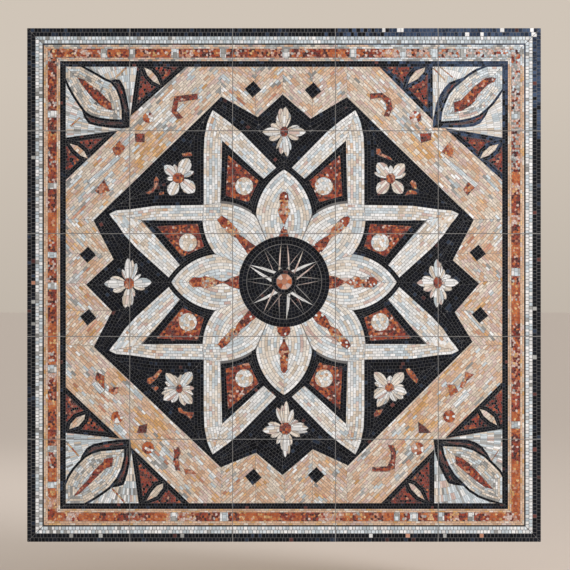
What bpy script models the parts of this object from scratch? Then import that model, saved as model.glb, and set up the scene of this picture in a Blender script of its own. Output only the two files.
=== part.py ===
import math

import bmesh
import bpy
from mathutils import Vector
from mathutils.geometry import delaunay_2d_cdt

# Driving dimensions, in metres. The panel hangs upright: X to the right, Z up, the face looks to -Y
# and the back of the board lies on the wall at Y = 0.
PANEL = 1.500
SHEETS_A_SIDE = 5
SHEET_THICKNESS = 0.0097
BOARD_THICKNESS = 0.0120
BOARD_INSET = 0.0050
GAP = 0.0003
JOINT_WIDTH = 0.0022
JOINT_DEPTH = 0.0010

# Widths of the border's courses, from the edge inwards.
BLACK_COURSE = 0.0245
WHITE_COURSE = 0.0210
THIN_AND_PEACH_COURSE = 0.0150
RED_COURSE = 0.0260
PEACH_COURSE = 0.0115
INNER_BLACK_COURSE = 0.0150

# The star field is drawn on a square of this many units, and the drawing is scaled to the panel.
DRAWING_SIDE = 1500.0
STAR_CENTRE = (0.0, 8.0)
DISC_RADIUS = 131.0
DISC_STEPS = 28
PETAL_TIP = 329.0
PETAL_ARC_ALONG = 181.0
PETAL_ARC_ASIDE = 90.6
PETAL_VALLEY = 209.5
PETAL_STEPS = 5
BAND_INSIDE = 185.0
BAND_OUTSIDE = 233.5
KITE_APEX = 461.0
STAR_TIP_SIDE = ((543.0, 0.0), (516.0, 28.5), (481.0, 52.0), (437.0, 72.5))
RED_KITE = ((404.0, 0.0), (298.0, 56.0), (252.0, 0.0), (298.0, -56.0))
MEDALLION_ALONG = 303.5
MEDALLION_RADIUS = 26.5
GROUND_PEAK = (183.0, 541.0)
GROUND_VALLEY = (77.0, 480.0)
GROUND_AXIS_PEAKS = (548.0, 572.0, 563.0, 572.0)
DIAMOND_PLACES = ((90.0, 565.0), (566.0, 86.0))
DIAMOND_HALF = 22.0
CORNER_LEAF = ((632.0, 630.0), (560.0, 612.0), (497.0, 560.0), (473.0, 479.0))
CORNER_TRIANGLE = ((430.0, 637.0), (294.0, 637.0), (449.0, 495.0))


UNIT = PANEL / DRAWING_SIDE


def turned(points, degrees):
    c, s = math.cos(math.radians(degrees)), math.sin(math.radians(degrees))
    return [(x * c - y * s, x * s + y * c) for x, y in points]


def from_star(points):
    return [(x + STAR_CENTRE[0], y + STAR_CENTRE[1]) for x, y in points]


def circle(centre, radius, steps):
    return [
        (
            centre[0] + radius * math.cos(2 * math.pi * (i + 0.5) / steps),
            centre[1] + radius * math.sin(2 * math.pi * (i + 0.5) / steps),
        )
        for i in range(steps)
    ]


def petal_side():
    """One side of an upright petal, from its tip down to the valley beside it, on the right."""
    radius = math.hypot(PETAL_ARC_ASIDE, PETAL_TIP - PETAL_ARC_ALONG)
    first = math.atan2(PETAL_TIP - PETAL_ARC_ALONG, PETAL_ARC_ASIDE)
    valley = (PETAL_VALLEY * math.sin(math.radians(22.5)), PETAL_VALLEY * math.cos(math.radians(22.5)))
    last = math.atan2(valley[1] - PETAL_ARC_ALONG, valley[0] + PETAL_ARC_ASIDE)
    side = []
    for i in range(PETAL_STEPS + 1):
        angle = first + (last - first) * i / PETAL_STEPS
        side.append(
            (radius * math.cos(angle) - PETAL_ARC_ASIDE, radius * math.sin(angle) + PETAL_ARC_ALONG)
        )
    side[-1] = valley
    return side


def mirrored(points):
    return [(-x, y) for x, y in points]


def border_squares():
    """The lines between the border's courses, in metres."""
    half = PANEL / 2
    for width in (
        BLACK_COURSE,
        WHITE_COURSE,
        THIN_AND_PEACH_COURSE,
        RED_COURSE,
        PEACH_COURSE,
        INNER_BLACK_COURSE,
    ):
        half -= width
        yield [(-half, -half), (half, -half), (half, half), (-half, half)], True


def ground():
    """The zigzag edge of the dark ground behind the star."""
    line = []
    for quarter, peak in enumerate(GROUND_AXIS_PEAKS):
        px, py = GROUND_PEAK
        vx, vy = GROUND_VALLEY
        line += turned([(px, py), (vx, vy), (0.0, peak), (-vx, vy), (-px, py)], 90 * quarter)
    return from_star(line), True


def star():
    """Petals, compass disc, bands of the eight points and what fills the kites between them."""
    yield from_star(circle((0, 0), DISC_RADIUS, DISC_STEPS)), True
    side = petal_side()
    rim = []
    for k in range(8):
        rim += turned(list(reversed(side))[:-1] + mirrored(side)[:-1], 45 * k)
    yield from_star(rim), True
    for k in range(8):
        # Along the point's own axis, with the band that runs to the nearer axis petal on one side.
        turn = 22.5 + 45 * k - 90
        flip = 1 if k % 2 else -1
        point = [(flip * t, s) for s, t in STAR_TIP_SIDE]
        outer_end, inner_end = band_ends()
        outline = (
            list(reversed(point))
            + mirrored(point)[1:]
            + [(-flip * outer_end[0], outer_end[1]), (-flip * inner_end[0], inner_end[1])]
            + [(0.0, KITE_APEX)]
        )
        crossing = crossing_ends()
        outline += [(flip * crossing[1][0], crossing[1][1]), (flip * crossing[0][0], crossing[0][1])]
        yield from_star(turned(outline, turn)), True
        yield from_star(turned([(t, s) for s, t in RED_KITE], turn)), True
        disc = circle((0, MEDALLION_ALONG), MEDALLION_RADIUS, 8)
        yield from_star(turned(disc, turn)), True


def band_ends():
    """Where the slanting band of a point stops at the axis petal, in the point's own frame."""
    return (121.0, 314.0), (84.0, 292.0)


def crossing_ends():
    """Where the straight band of a point meets the band that crosses it, in the point's own frame."""
    across = []
    for reach in (BAND_OUTSIDE, BAND_INSIDE):
        x, y = reach, BAND_OUTSIDE
        c, s = math.cos(math.radians(22.5)), math.sin(math.radians(22.5))
        across.append((x * c - y * s, x * s + y * c))
    return across


def corners():
    for sx in (1, -1):
        for sy in (1, -1):
            there = list(CORNER_LEAF)
            back = [(y, x) for x, y in reversed(CORNER_LEAF[1:-1])]
            yield [(sx * x, sy * y) for x, y in there + back], True
            yield [(sx * x, sy * y) for x, y in CORNER_TRIANGLE], True
            yield [(sx * y, sy * x) for x, y in CORNER_TRIANGLE], True
            for px, py in DIAMOND_PLACES:
                h = DIAMOND_HALF
                rhomb = [(px, py + h), (px + h, py), (px, py - h), (px - h, py)]
                yield [(sx * x, sy * y) for x, y in rhomb], True


def sheet_joints():
    """The straight joints where one sheet meets the next, in metres."""
    half = PANEL / 2
    step = (PANEL + GAP) / SHEETS_A_SIDE
    for i in range(1, SHEETS_A_SIDE):
        at = i * step - half - GAP / 2
        yield [(at, -half), (at, half)], False
        yield [(-half, -at), (half, -at)], False


def outlines():
    """Every main line of the design, in metres from the panel's centre."""
    drawn = [ground()] + list(star()) + list(corners())
    scaled = [([(x * UNIT, y * UNIT) for x, y in line], closed) for line, closed in drawn]
    return list(border_squares()) + list(sheet_joints()) + scaled


def strips(line, closed, width):
    """The line as quads of one width, mitred where it bends."""
    n = len(line)
    sides = []
    for i in range(n):
        here = Vector(line[i])
        before = (here - Vector(line[i - 1])).normalized() if closed or i else None
        after = (Vector(line[(i + 1) % n]) - here).normalized() if closed or i < n - 1 else None
        before, after = before or after, after or before
        normal = Vector((-(before + after).y, (before + after).x)).normalized()
        reach = width / 2 / max(0.45, normal.dot(Vector((-after.y, after.x))))
        sides.append((here + normal * reach, here - normal * reach))
    for i in range(n if closed else n - 1):
        a, b = sides[i], sides[(i + 1) % n]
        yield [a[0], a[1], b[1], b[0]]


def clear_scene():
    for ob in list(bpy.data.objects):
        bpy.data.objects.remove(ob, do_unlink=True)
    for mesh in list(bpy.data.meshes):
        bpy.data.meshes.remove(mesh)


def material(name, colour, roughness):
    mat = bpy.data.materials.new(name)
    mat.use_nodes = True
    shader = mat.node_tree.nodes["Principled BSDF"]
    shader.inputs["Base Color"].default_value = (*colour, 1)
    shader.inputs["Roughness"].default_value = roughness
    mat.diffuse_color = (*colour, 1)
    return mat


def add_object(name, bm, mat):
    bmesh.ops.recalc_face_normals(bm, faces=bm.faces)
    mesh = bpy.data.meshes.new(name)
    bm.to_mesh(mesh)
    bm.free()
    mesh.materials.append(mat)
    ob = bpy.data.objects.new(name, mesh)
    bpy.context.scene.collection.objects.link(ob)
    return ob


def board(mat):
    half = PANEL / 2 - BOARD_INSET
    bm = bmesh.new()
    corners_2d = ((-half, -half), (half, -half), (half, half), (-half, half))
    back = [bm.verts.new((x, 0.0, z)) for x, z in corners_2d]
    front = [bm.verts.new((x, -BOARD_THICKNESS, z)) for x, z in corners_2d]
    bm.faces.new(back)
    bm.faces.new(front)
    for i in range(4):
        j = (i + 1) % 4
        bm.faces.new((back[i], back[j], front[j], front[i]))
    return add_object("backing_board", bm, mat)


def sheet(name, left, low, side, quads, mat):
    """A square sheet of stones: flat areas with the joints along the design's main lines sunk below them."""
    box = [(left, low), (left + side, low), (left + side, low + side), (left, low + side)]
    points = [Vector(p) for p in box]
    faces = [[0, 1, 2, 3]]
    for quad in quads:
        if max(p.x for p in quad) < left or min(p.x for p in quad) > left + side:
            continue
        if max(p.y for p in quad) < low or min(p.y for p in quad) > low + side:
            continue
        first = len(points)
        points += quad
        faces.append([first, first + 1, first + 2, first + 3])
    flat, _, cells, _, _, sources = delaunay_2d_cdt(points, [], faces, 1, 1e-6)
    top_y = -(BOARD_THICKNESS + GAP + SHEET_THICKNESS)
    joint_y = top_y + JOINT_DEPTH
    back_y = -(BOARD_THICKNESS + GAP)
    inside = [(c, len(src) == 1) for c, src in zip(cells, sources) if 0 in src]

    level_of = {}
    for cell, is_flat in inside:
        for i in range(3):
            level_of.setdefault(tuple(sorted((cell[i], cell[(i + 1) % 3]))), []).append(is_flat)
    heights = {}
    for cell, is_flat in inside:
        for v in cell:
            heights.setdefault(v, set()).add(is_flat)

    bm = bmesh.new()
    made = {}

    def vert(index, y):
        if (index, y) not in made:
            p = flat[index]
            made[index, y] = bm.verts.new((p.x, y, p.y))
        return made[index, y]

    for cell, is_flat in inside:
        y = top_y if is_flat else joint_y
        bm.faces.new([vert(v, y) for v in cell])

    rim = []
    for (a, b), levels in level_of.items():
        if len(levels) == 2 and levels[0] != levels[1]:
            bm.faces.new([vert(a, top_y), vert(b, top_y), vert(b, joint_y), vert(a, joint_y)])
        elif len(levels) == 1:
            rim.append((a, b))
            top = levels[0]
            up_a = [back_y, joint_y, top_y] if top else [back_y, joint_y]
            up_b = list(up_a)
            if top and False not in heights[a]:
                up_a.remove(joint_y)
            if top and False not in heights[b]:
                up_b.remove(joint_y)
            loop = [vert(a, y) for y in up_a] + [vert(b, y) for y in reversed(up_b)]
            bm.faces.new(loop)

    order = sorted({v for edge in rim for v in edge})
    at = {v: i for i, v in enumerate(order)}
    base = [flat[v] for v in order]
    edges = [(at[a], at[b]) for a, b in rim]
    _, _, floor_cells, back_index, _, _ = delaunay_2d_cdt(base, edges, [], 1, 1e-8)
    for cell in floor_cells:
        bm.faces.new([vert(order[back_index[v][0]], back_y) for v in cell])
    bmesh.ops.triangulate(bm, faces=[f for f in bm.faces if len(f.verts) > 4])
    return add_object(name, bm, mat)


def main():
    clear_scene()
    stone = material("stone_mosaic", (0.62, 0.55, 0.48), 0.45)
    wood = material("backing_board", (0.55, 0.42, 0.28), 0.7)
    board(wood)
    quads = [q for line, closed in outlines() for q in strips(line, closed, JOINT_WIDTH)]
    step = (PANEL + GAP) / SHEETS_A_SIDE
    side = step - GAP
    for row in range(SHEETS_A_SIDE):
        for column in range(SHEETS_A_SIDE):
            left = -PANEL / 2 + column * step
            low = PANEL / 2 - side - row * step
            sheet(f"sheet_r{row + 1}_c{column + 1}", left, low, side, quads, stone)


main()
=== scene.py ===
import math
import random
import time
from functools import partial

import bpy
import numpy as np
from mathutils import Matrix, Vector, noise


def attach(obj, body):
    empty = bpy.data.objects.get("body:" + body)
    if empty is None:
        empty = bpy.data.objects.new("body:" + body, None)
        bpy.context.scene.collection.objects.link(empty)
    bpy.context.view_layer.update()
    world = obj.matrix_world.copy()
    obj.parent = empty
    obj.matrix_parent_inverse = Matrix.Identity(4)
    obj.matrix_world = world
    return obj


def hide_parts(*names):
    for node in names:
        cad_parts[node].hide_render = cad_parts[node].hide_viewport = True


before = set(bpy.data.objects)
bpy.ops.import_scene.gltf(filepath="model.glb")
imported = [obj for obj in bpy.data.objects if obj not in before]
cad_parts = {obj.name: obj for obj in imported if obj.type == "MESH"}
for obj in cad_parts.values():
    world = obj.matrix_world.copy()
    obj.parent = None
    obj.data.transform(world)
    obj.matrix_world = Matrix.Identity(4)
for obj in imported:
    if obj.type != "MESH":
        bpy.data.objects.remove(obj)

startTime = time.time()
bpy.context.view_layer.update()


def report(stage):
    print(f"{stage} ({time.time() - startTime:.1f} s)")


# The picture is laid out in millimetres on the panel's face, x to the right and y up from its centre.
panel = {
    "side": 1500.0,
    "sheetsASide": 5,
    "sheetGap": 0.3,  # between two sheets' cement
    "sheetJoint": 1.5,  # kept clear along the line between two sheets, besides the stones' own joints
    "joints": {"ground": 0.55, "crushed": 0.55, "edge": 1.1, "whiteCourse": 1.6, "other": 0.85},
    "starCentre": (0.0, 8.0),
    "unit": 1500.0 / 514.0,  # one step of the drawing's grid, which the motifs below are given in
    "seed": 7,
}
rng = random.Random(panel["seed"])
unit = panel["unit"]


# Plane geometry of convex pieces.

def lineOf(a, b):  # unit normal and offset, positive on the left of a to b
    dx, dy = b[0] - a[0], b[1] - a[1]
    length = math.hypot(dx, dy) or 1e-9
    nx, ny = -dy / length, dx / length
    return nx, ny, nx * a[0] + ny * a[1]


def keepLeft(shape, line, shift=0.0):
    nx, ny, c = line
    c += shift
    kept = []
    px, py = shape[-1]
    pd = nx * px + ny * py - c
    for x, y in shape:
        d = nx * x + ny * y - c
        if (d >= 0) != (pd >= 0):
            t = pd / (pd - d)
            kept.append((px + (x - px) * t, py + (y - py) * t))
        if d >= 0:
            kept.append((x, y))
        px, py, pd = x, y, d
    return kept if len(kept) > 2 else None


def splitBy(shape, line):
    nx, ny, c = line
    return [s for s in (keepLeft(shape, line), keepLeft(shape, (-nx, -ny, -c))) if s]


def crosses(shape, a, b, margin=0.25):  # does the segment run through the inside of the convex shape
    t0, t1 = 0.0, 1.0
    x0, y0 = shape[-1]
    for x1, y1 in shape:
        ex, ey = x1 - x0, y1 - y0
        length = math.hypot(ex, ey)
        if length > 1e-6:
            da = (ex * (a[1] - y0) - ey * (a[0] - x0)) / length - margin
            db = (ex * (b[1] - y0) - ey * (b[0] - x0)) / length - margin
            if da < 0 and db < 0:
                return False
            if da < 0:
                t0 = max(t0, da / (da - db))
            elif db < 0:
                t1 = min(t1, da / (da - db))
            if t0 >= t1:
                return False
        x0, y0 = x1, y1
    return True


def areaAndCentre(shape):
    area = cx = cy = 0.0
    x0, y0 = shape[-1]
    for x1, y1 in shape:
        w = x0 * y1 - x1 * y0
        area += w
        cx += (x0 + x1) * w
        cy += (y0 + y1) * w
        x0, y0 = x1, y1
    if abs(area) < 1e-9:
        return 0.0, shape[0]
    return area / 2, (cx / (3 * area), cy / (3 * area))


def anticlockwise(shape):
    return shape if areaAndCentre(shape)[0] > 0 else shape[::-1]


def inside(p, shape):
    x, y = p
    found = False
    x0, y0 = shape[-1]
    for x1, y1 in shape:
        if (y0 > y) != (y1 > y) and x < (x1 - x0) * (y - y0) / (y1 - y0) + x0:
            found = not found
        x0, y0 = x1, y1
    return found


def boxOf(shape):
    xs, ys = [p[0] for p in shape], [p[1] for p in shape]
    return min(xs), min(ys), max(xs), max(ys)


def apart(a, b):
    return a[0] > b[2] or b[0] > a[2] or a[1] > b[3] or b[1] > a[3]


def insetBy(shape, width):
    result = shape
    x0, y0 = shape[-1]
    for x1, y1 in shape:
        if result and math.hypot(x1 - x0, y1 - y0) > 0.05:
            result = keepLeft(result, lineOf((x0, y0), (x1, y1)), width)
        x0, y0 = x1, y1
    return result


def withoutShortEdges(shape, least=0.5):
    kept = []
    for p in shape:
        if not kept or math.hypot(p[0] - kept[-1][0], p[1] - kept[-1][1]) > least:
            kept.append(p)
    while len(kept) > 2 and math.hypot(kept[0][0] - kept[-1][0], kept[0][1] - kept[-1][1]) <= least:
        kept.pop()
    return kept if len(kept) > 2 else None


def turned(points, degrees, centre=(0.0, 0.0)):
    c, s = math.cos(math.radians(degrees)), math.sin(math.radians(degrees))
    return [(centre[0] + x * c - y * s, centre[1] + x * s + y * c) for x, y in points]


def square(h):
    return [(-h, -h), (h, -h), (h, h), (-h, h)]


def ringOf(radius, count, centre=(0.0, 0.0), phase=0.0, high=None):  # corners of a regular outline
    angles = [2 * math.pi * (i + phase) / count for i in range(count)]
    return [(centre[0] + radius * math.cos(a), centre[1] + (high or radius) * math.sin(a)) for a in angles]


# Ways of laying stones: each gives convex shapes with the row they belong to.

handwork = {  # a workman's small differences
    "stone": (0.8, 1.22),  # a stone's length and a row's height, as shares of those meant
    "row": (0.93, 1.07),
    "ring": 0.12,  # how far a cut strays in a ring and in a course, in stones
    "course": 0.13,
    "chip": 0.36,  # and a crushed chip's middle, in chips
    "diamond": 6,  # and a diamond's turn, in degrees
}


def stray(reach):
    return rng.uniform(-reach, reach)


def cutRow(length, stone):  # ends of the stones along a row
    ends = [-rng.random() * stone]
    while ends[-1] < length:
        ends.append(ends[-1] + stone * rng.uniform(*handwork["stone"]))
    return ends


def rows(box, degrees, height, stone):
    # Straight rows over a box.
    x0, y0, x1, y1 = box
    cx, cy, reach = (x0 + x1) / 2, (y0 + y1) / 2, math.hypot(x1 - x0, y1 - y0) / 2 + height
    c, s = math.cos(math.radians(degrees)), math.sin(math.radians(degrees))
    edges = [-reach]
    while edges[-1] < reach:
        edges.append(edges[-1] + height * rng.uniform(*handwork["row"]))
    for k in range(len(edges) - 1):
        v0, v1 = edges[k], edges[k + 1]
        ends = cutRow(2 * reach, stone)
        for e0, e1 in zip(ends, ends[1:]):
            u0, u1 = e0 - reach, e1 - reach
            quad = ((u0, v0), (u1, v0), (u1, v1), (u0, v1))
            yield [(cx + u * c - v * s, cy + u * s + v * c) for u, v in quad], k


def rings(centre, outer, inner, height, stone, first=0.0, last=360.0):
    # Rows round a centre, from the outside in.
    count = max(1, round((outer - inner) / height))
    step = (outer - inner) / count
    for k in range(count):
        r1, r0 = outer - k * step, outer - (k + 1) * step
        middle = max(2.0, (r0 + r1) / 2)
        length = math.radians(last - first) * middle
        if last - first >= 360:
            n = max(3, round(length / stone))
            start = rng.random()
            ends = [(start + i + stray(handwork["ring"]) * (0 < i < n)) * length / n for i in range(n)]
            ends.append(ends[0] + length)
        else:
            ends = cutRow(length, stone)
        for e0, e1 in zip(ends, ends[1:]):
            a0, a1 = (math.radians(first) + e / middle for e in (e0, e1))
            bend = 1 / math.cos(min(0.8, (a1 - a0) / 2))
            quad = [(r1, a0), (r1, a1)]
            if a1 - a0 > 0.5:  # a wide stone's outer edge is bent
                quad.insert(1, (r1 * bend, (a0 + a1) / 2))
            quad += [(r0, a1), (r0, a0)] if r0 > 0.4 else [(0.0, a0)]
            shape = [(centre[0] + r * math.cos(a), centre[1] + r * math.sin(a)) for r, a in quad]
            yield anticlockwise(shape), k


def nearestSource(points, starts, ends):
    # For each point, which segment it lies nearest to. Past a segment's end a little is added, so that
    # rows meet on the line that halves the corner.
    batch, addedPast = 4000, 0.02
    points = np.asarray(points, float)
    along = ends - starts
    length = np.sqrt((along ** 2).sum(1))
    best = np.empty(len(points), int)
    for at in range(0, len(points), batch):
        p = points[at : at + batch, None, :] - starts[None]
        t = (p * along[None]).sum(2) / length
        past = np.maximum(np.maximum(-t, t - length), 0)
        away = np.abs(p[..., 0] * along[None, :, 1] - p[..., 1] * along[None, :, 0]) / length
        best[at : at + batch] = (np.hypot(away, past) + addedPast * past).argmin(1)
    return best


def courseCuts(length, stone, reach, row):  # where a course along an edge is cut, past its ends too
    if length < stone * 1.6:
        return [-reach, length + reach]
    n = max(1, round(length / stone))
    phase = 0.5 * (row % 2)
    inner = [(j + phase + stray(handwork["course"])) * length / n for j in range(0 if phase else 1, n)]
    cuts = [-reach] + inner + [length + reach]
    if reach > stone:  # rows near the ends of an outward corner are cut up too
        more = int(reach / stone)
        cuts += [-reach + j * reach / more for j in range(1, more)]
        cuts += [length + j * reach / more for j in range(1, more)]
        cuts.sort()
        cuts = [c for i, c in enumerate(cuts) if i == 0 or c - cuts[i - 1] > stone * 0.3 or c == cuts[-1]]
    return cuts


def halving(sources, lines, i, j):  # the line between the courses of two edges
    nx, ny = lines[i][0] - lines[j][0], lines[i][1] - lines[j][1]
    size = math.hypot(nx, ny)
    if size >= 0.01:
        return nx / size, ny / size, (lines[i][2] - lines[j][2]) / size
    # The two run on in one line, so they part square to it, where they meet.
    (a, b), c = sources[i], sources[j][0]
    x, y = b if math.dist(b, c) < 0.01 else a
    return lines[i][1], -lines[i][0], lines[i][1] * x - lines[i][0] * y


def courses(sources, height, stone, depth, box=None):
    # Rows that follow the edges given, each with the laid ground on its left, and meet in mitres.
    starts = np.array([s[0] for s in sources], float)
    ends = np.array([s[1] for s in sources], float)
    lines = [lineOf(a, b) for a, b in sources]
    made = []
    for i, (a, b) in enumerate(sources):
        length = math.hypot(b[0] - a[0], b[1] - a[1])
        if length < 1e-6:
            continue
        ux, uy = (b[0] - a[0]) / length, (b[1] - a[1]) / length
        for k in range(depth):
            v0, v1 = k * height, (k + 1) * height
            cuts = courseCuts(length, stone, v1 * 1.1 + 1, k)
            for c0, c1 in zip(cuts, cuts[1:]):
                quad = [(c0, v0), (c1, v0), (c1, v1), (c0, v1)]
                shape = [(a[0] + u * ux - v * uy, a[1] + u * uy + v * ux) for u, v in quad]
                if not (box and apart(boxOf(shape), box)):
                    made.append((shape, i, k))
    if not made:
        return
    points = [s + [((s[0][0] + s[2][0]) / 2, (s[0][1] + s[2][1]) / 2)] for s, _, _ in made]
    nearest = nearestSource(np.array(points).reshape(-1, 2), starts, ends).reshape(-1, 5)
    parts = []
    for near, (shape, i, k) in zip(nearest, made):
        others = set(near) - {i}
        if not others:
            yield shape, (i, k)
            continue
        if len(others) == 1 and i not in near:
            continue
        cut = [shape]
        for j in others:
            cut = [p for s in cut for p in splitBy(s, halving(sources, lines, i, j))]
        for p in cut:
            area, centre = areaAndCentre(p)
            if area > 3:
                parts.append((p, centre, i, k))
    if parts:
        nearest = nearestSource([centre for _, centre, _, _ in parts], starts, ends)
        for j, (p, _, i, k) in zip(nearest, parts):
            if j == i:
                yield p, (i, k)


def chips(shape, pitch):
    # Crushed pieces: the cells round jittered points.
    x0, y0, x1, y1 = boxOf(shape)
    nx, ny = int((x1 - x0) / pitch) + 5, int((y1 - y0) / pitch) + 5
    seeds = {}
    for i in range(nx):
        for j in range(ny):
            seeds[i, j] = (
                x0 + (i - 2 + 0.5 * (j % 2) + stray(handwork["chip"])) * pitch,
                y0 + (j - 2 + stray(handwork["chip"])) * pitch,
            )
    for (i, j), p in seeds.items():
        if i < 1 or j < 1:
            continue
        r = pitch * 1.4
        cell = [(p[0] + r * u, p[1] + r * v) for u, v in square(1)]
        for di in (-2, -1, 0, 1, 2):
            for dj in (-2, -1, 0, 1, 2):
                q = seeds.get((i + di, j + dj))
                if (di or dj) and q and cell:
                    mx, my = (p[0] + q[0]) / 2, (p[1] + q[1]) / 2
                    dx, dy = p[0] - q[0], p[1] - q[1]
                    length = math.hypot(dx, dy)
                    cell = keepLeft(cell, (dx / length, dy / length, (mx * dx + my * dy) / length))
        if cell:
            yield cell, (i, j)


def wedges(centre, radius, count, core, start):
    # Stones cut like slices round a centre, with an own stone in the middle.
    for k in range(count):
        a0 = 2 * math.pi * (k + start) / count
        a1 = a0 + 2 * math.pi / count
        r = radius / math.cos((a1 - a0) / 2)
        corners = ((r, a0), (r, a1), (core, a1), (core, a0))
        yield [(centre[0] + s * math.cos(a), centre[1] + s * math.sin(a)) for s, a in corners], k
    yield ringOf(core, count, centre, start), count


kinds = [
    "cement", "blackMarble", "navySheenSlate", "whiteMarble", "paleBlueMarble", "creamLimestone",
    "peachLimestone", "salmonMarble", "ochreMarble", "orangeMarble", "redMarble", "porphyry",
    "pinkMarble", "greyMarble", "blueSheenSlate", "ivoryMarble",
]
kindOf = {name: i for i, name in enumerate(kinds)}


def chance(share):
    return rng.random() < share


def pick(mix):
    total = sum(mix.values())
    at = rng.random() * total
    for name, weight in mix.items():
        at -= weight
        if at <= 0:
            return kindOf[name]
    return kindOf[name]


# Shares of the kinds of stone in each part of the picture.
mixes = {
    "ground": dict(blackMarble=1.0, porphyry=0.006),
    "star": dict(whiteMarble=0.36, paleBlueMarble=0.26, ivoryMarble=0.18, creamLimestone=0.16,
        pinkMarble=0.04),
    "starTip": dict(whiteMarble=0.22, paleBlueMarble=0.12, creamLimestone=0.5, pinkMarble=0.1,
        peachLimestone=0.06),
    "petal": dict(whiteMarble=0.34, paleBlueMarble=0.22, ivoryMarble=0.24, creamLimestone=0.15,
        pinkMarble=0.05),
    "fieldCream": dict(creamLimestone=0.44, peachLimestone=0.38, pinkMarble=0.14, ochreMarble=0.03,
        whiteMarble=0.01),
    "fieldPeach": dict(peachLimestone=0.66, creamLimestone=0.16, ochreMarble=0.08, salmonMarble=0.04,
        pinkMarble=0.06),
    "fieldPink": dict(pinkMarble=0.4, creamLimestone=0.42, peachLimestone=0.12, whiteMarble=0.06),
    "fieldCool": dict(creamLimestone=0.44, paleBlueMarble=0.18, greyMarble=0.18, pinkMarble=0.12,
        whiteMarble=0.08),
    "whiteCourse": dict(whiteMarble=0.97, greyMarble=0.03),
    "peachCourse": dict(peachLimestone=0.7, creamLimestone=0.16, pinkMarble=0.06, ochreMarble=0.08),
    "peachCoursePale": dict(creamLimestone=0.2, pinkMarble=0.14, peachLimestone=0.38, greyMarble=0.28),
    "coolCourse": dict(paleBlueMarble=0.5, greyMarble=0.2, whiteMarble=0.2, creamLimestone=0.1),
    "crushedRed": dict(redMarble=0.44, orangeMarble=0.22, porphyry=0.24, salmonMarble=0.06,
        pinkMarble=0.04),
    "crushedOrange": dict(orangeMarble=0.52, redMarble=0.2, ochreMarble=0.08, salmonMarble=0.18,
        porphyry=0.02),
    "crushedMixed": dict(redMarble=0.25, orangeMarble=0.2, salmonMarble=0.16, porphyry=0.18,
        pinkMarble=0.13, greyMarble=0.08),
    "crushedTriangle": dict(redMarble=0.52, porphyry=0.22, blackMarble=0.18, orangeMarble=0.06,
        salmonMarble=0.02),
    "pendantFoot": dict(redMarble=0.56, orangeMarble=0.2, porphyry=0.16, salmonMarble=0.04,
        whiteMarble=0.04),
    "pendant": dict(redMarble=0.3, orangeMarble=0.46, salmonMarble=0.14, porphyry=0.08, whiteMarble=0.02),
    "pendantMiddle": dict(salmonMarble=0.34, ochreMarble=0.2, greyMarble=0.2, orangeMarble=0.16,
        peachLimestone=0.1),
    "pendantEnd": dict(redMarble=0.48, orangeMarble=0.36, porphyry=0.12, whiteMarble=0.04),
    "orangeBlock": dict(orangeMarble=0.78, ochreMarble=0.12, salmonMarble=0.1),
    "paleBlock": dict(salmonMarble=0.4, pinkMarble=0.35, ochreMarble=0.1, redMarble=0.15),
    "lilacBlock": dict(greyMarble=0.4, pinkMarble=0.36, salmonMarble=0.2, porphyry=0.04),
    "paleLilacBlock": dict(greyMarble=0.42, pinkMarble=0.3, paleBlueMarble=0.2, salmonMarble=0.08),
    "leafPale": dict(ivoryMarble=0.24, greyMarble=0.08, whiteMarble=0.16, paleBlueMarble=0.46,
        pinkMarble=0.06),
    "cornerBackPale": dict(whiteMarble=0.46, ivoryMarble=0.26, paleBlueMarble=0.18, creamLimestone=0.1),
    "leaf": dict(creamLimestone=0.44, whiteMarble=0.04, paleBlueMarble=0.26, greyMarble=0.26),
    "cornerBack": dict(whiteMarble=0.2, paleBlueMarble=0.46, creamLimestone=0.14, pinkMarble=0.04,
        greyMarble=0.16),
    "medallion": dict(whiteMarble=0.34, creamLimestone=0.4, paleBlueMarble=0.14, peachLimestone=0.12),
    "flower": dict(whiteMarble=0.56, creamLimestone=0.26, paleBlueMarble=0.1, pinkMarble=0.08),
    "flowerWarm": dict(ivoryMarble=0.5, creamLimestone=0.24, pinkMarble=0.14, whiteMarble=0.12),
    "creamLeaf": dict(creamLimestone=0.6, pinkMarble=0.2, peachLimestone=0.2),
    "rosette": dict(orangeMarble=0.36, redMarble=0.16, salmonMarble=0.16, pinkMarble=0.14,
        whiteMarble=0.18),
    "heart": dict(salmonMarble=0.7, pinkMarble=0.15, orangeMarble=0.15),
    "fieldOchre": dict(ochreMarble=0.6, peachLimestone=0.34, creamLimestone=0.06),
    "fieldGrey": dict(greyMarble=0.25, whiteMarble=0.2, paleBlueMarble=0.15, creamLimestone=0.4),
    "paleBar": dict(paleBlueMarble=0.55, whiteMarble=0.45),
    "darkCore": dict(porphyry=0.6, redMarble=0.15, blackMarble=0.25),
    "darkRed": dict(porphyry=0.55, redMarble=0.45),
    "brightSliver": dict(whiteMarble=1.0),
    "pinkSliver": dict(pinkMarble=0.7, creamLimestone=0.3),
    "dullSliver": dict(pinkMarble=0.4, greyMarble=0.6),
    "palePlug": dict(paleBlueMarble=0.4, greyMarble=0.35, whiteMarble=0.25),
    "paleEdge": dict(whiteMarble=0.72, creamLimestone=0.16, paleBlueMarble=0.12),
    "fieldEdge": dict(creamLimestone=0.66, whiteMarble=0.22, pinkMarble=0.12),
    "ray": dict(ochreMarble=0.4, orangeMarble=0.35, peachLimestone=0.25),
}

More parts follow.
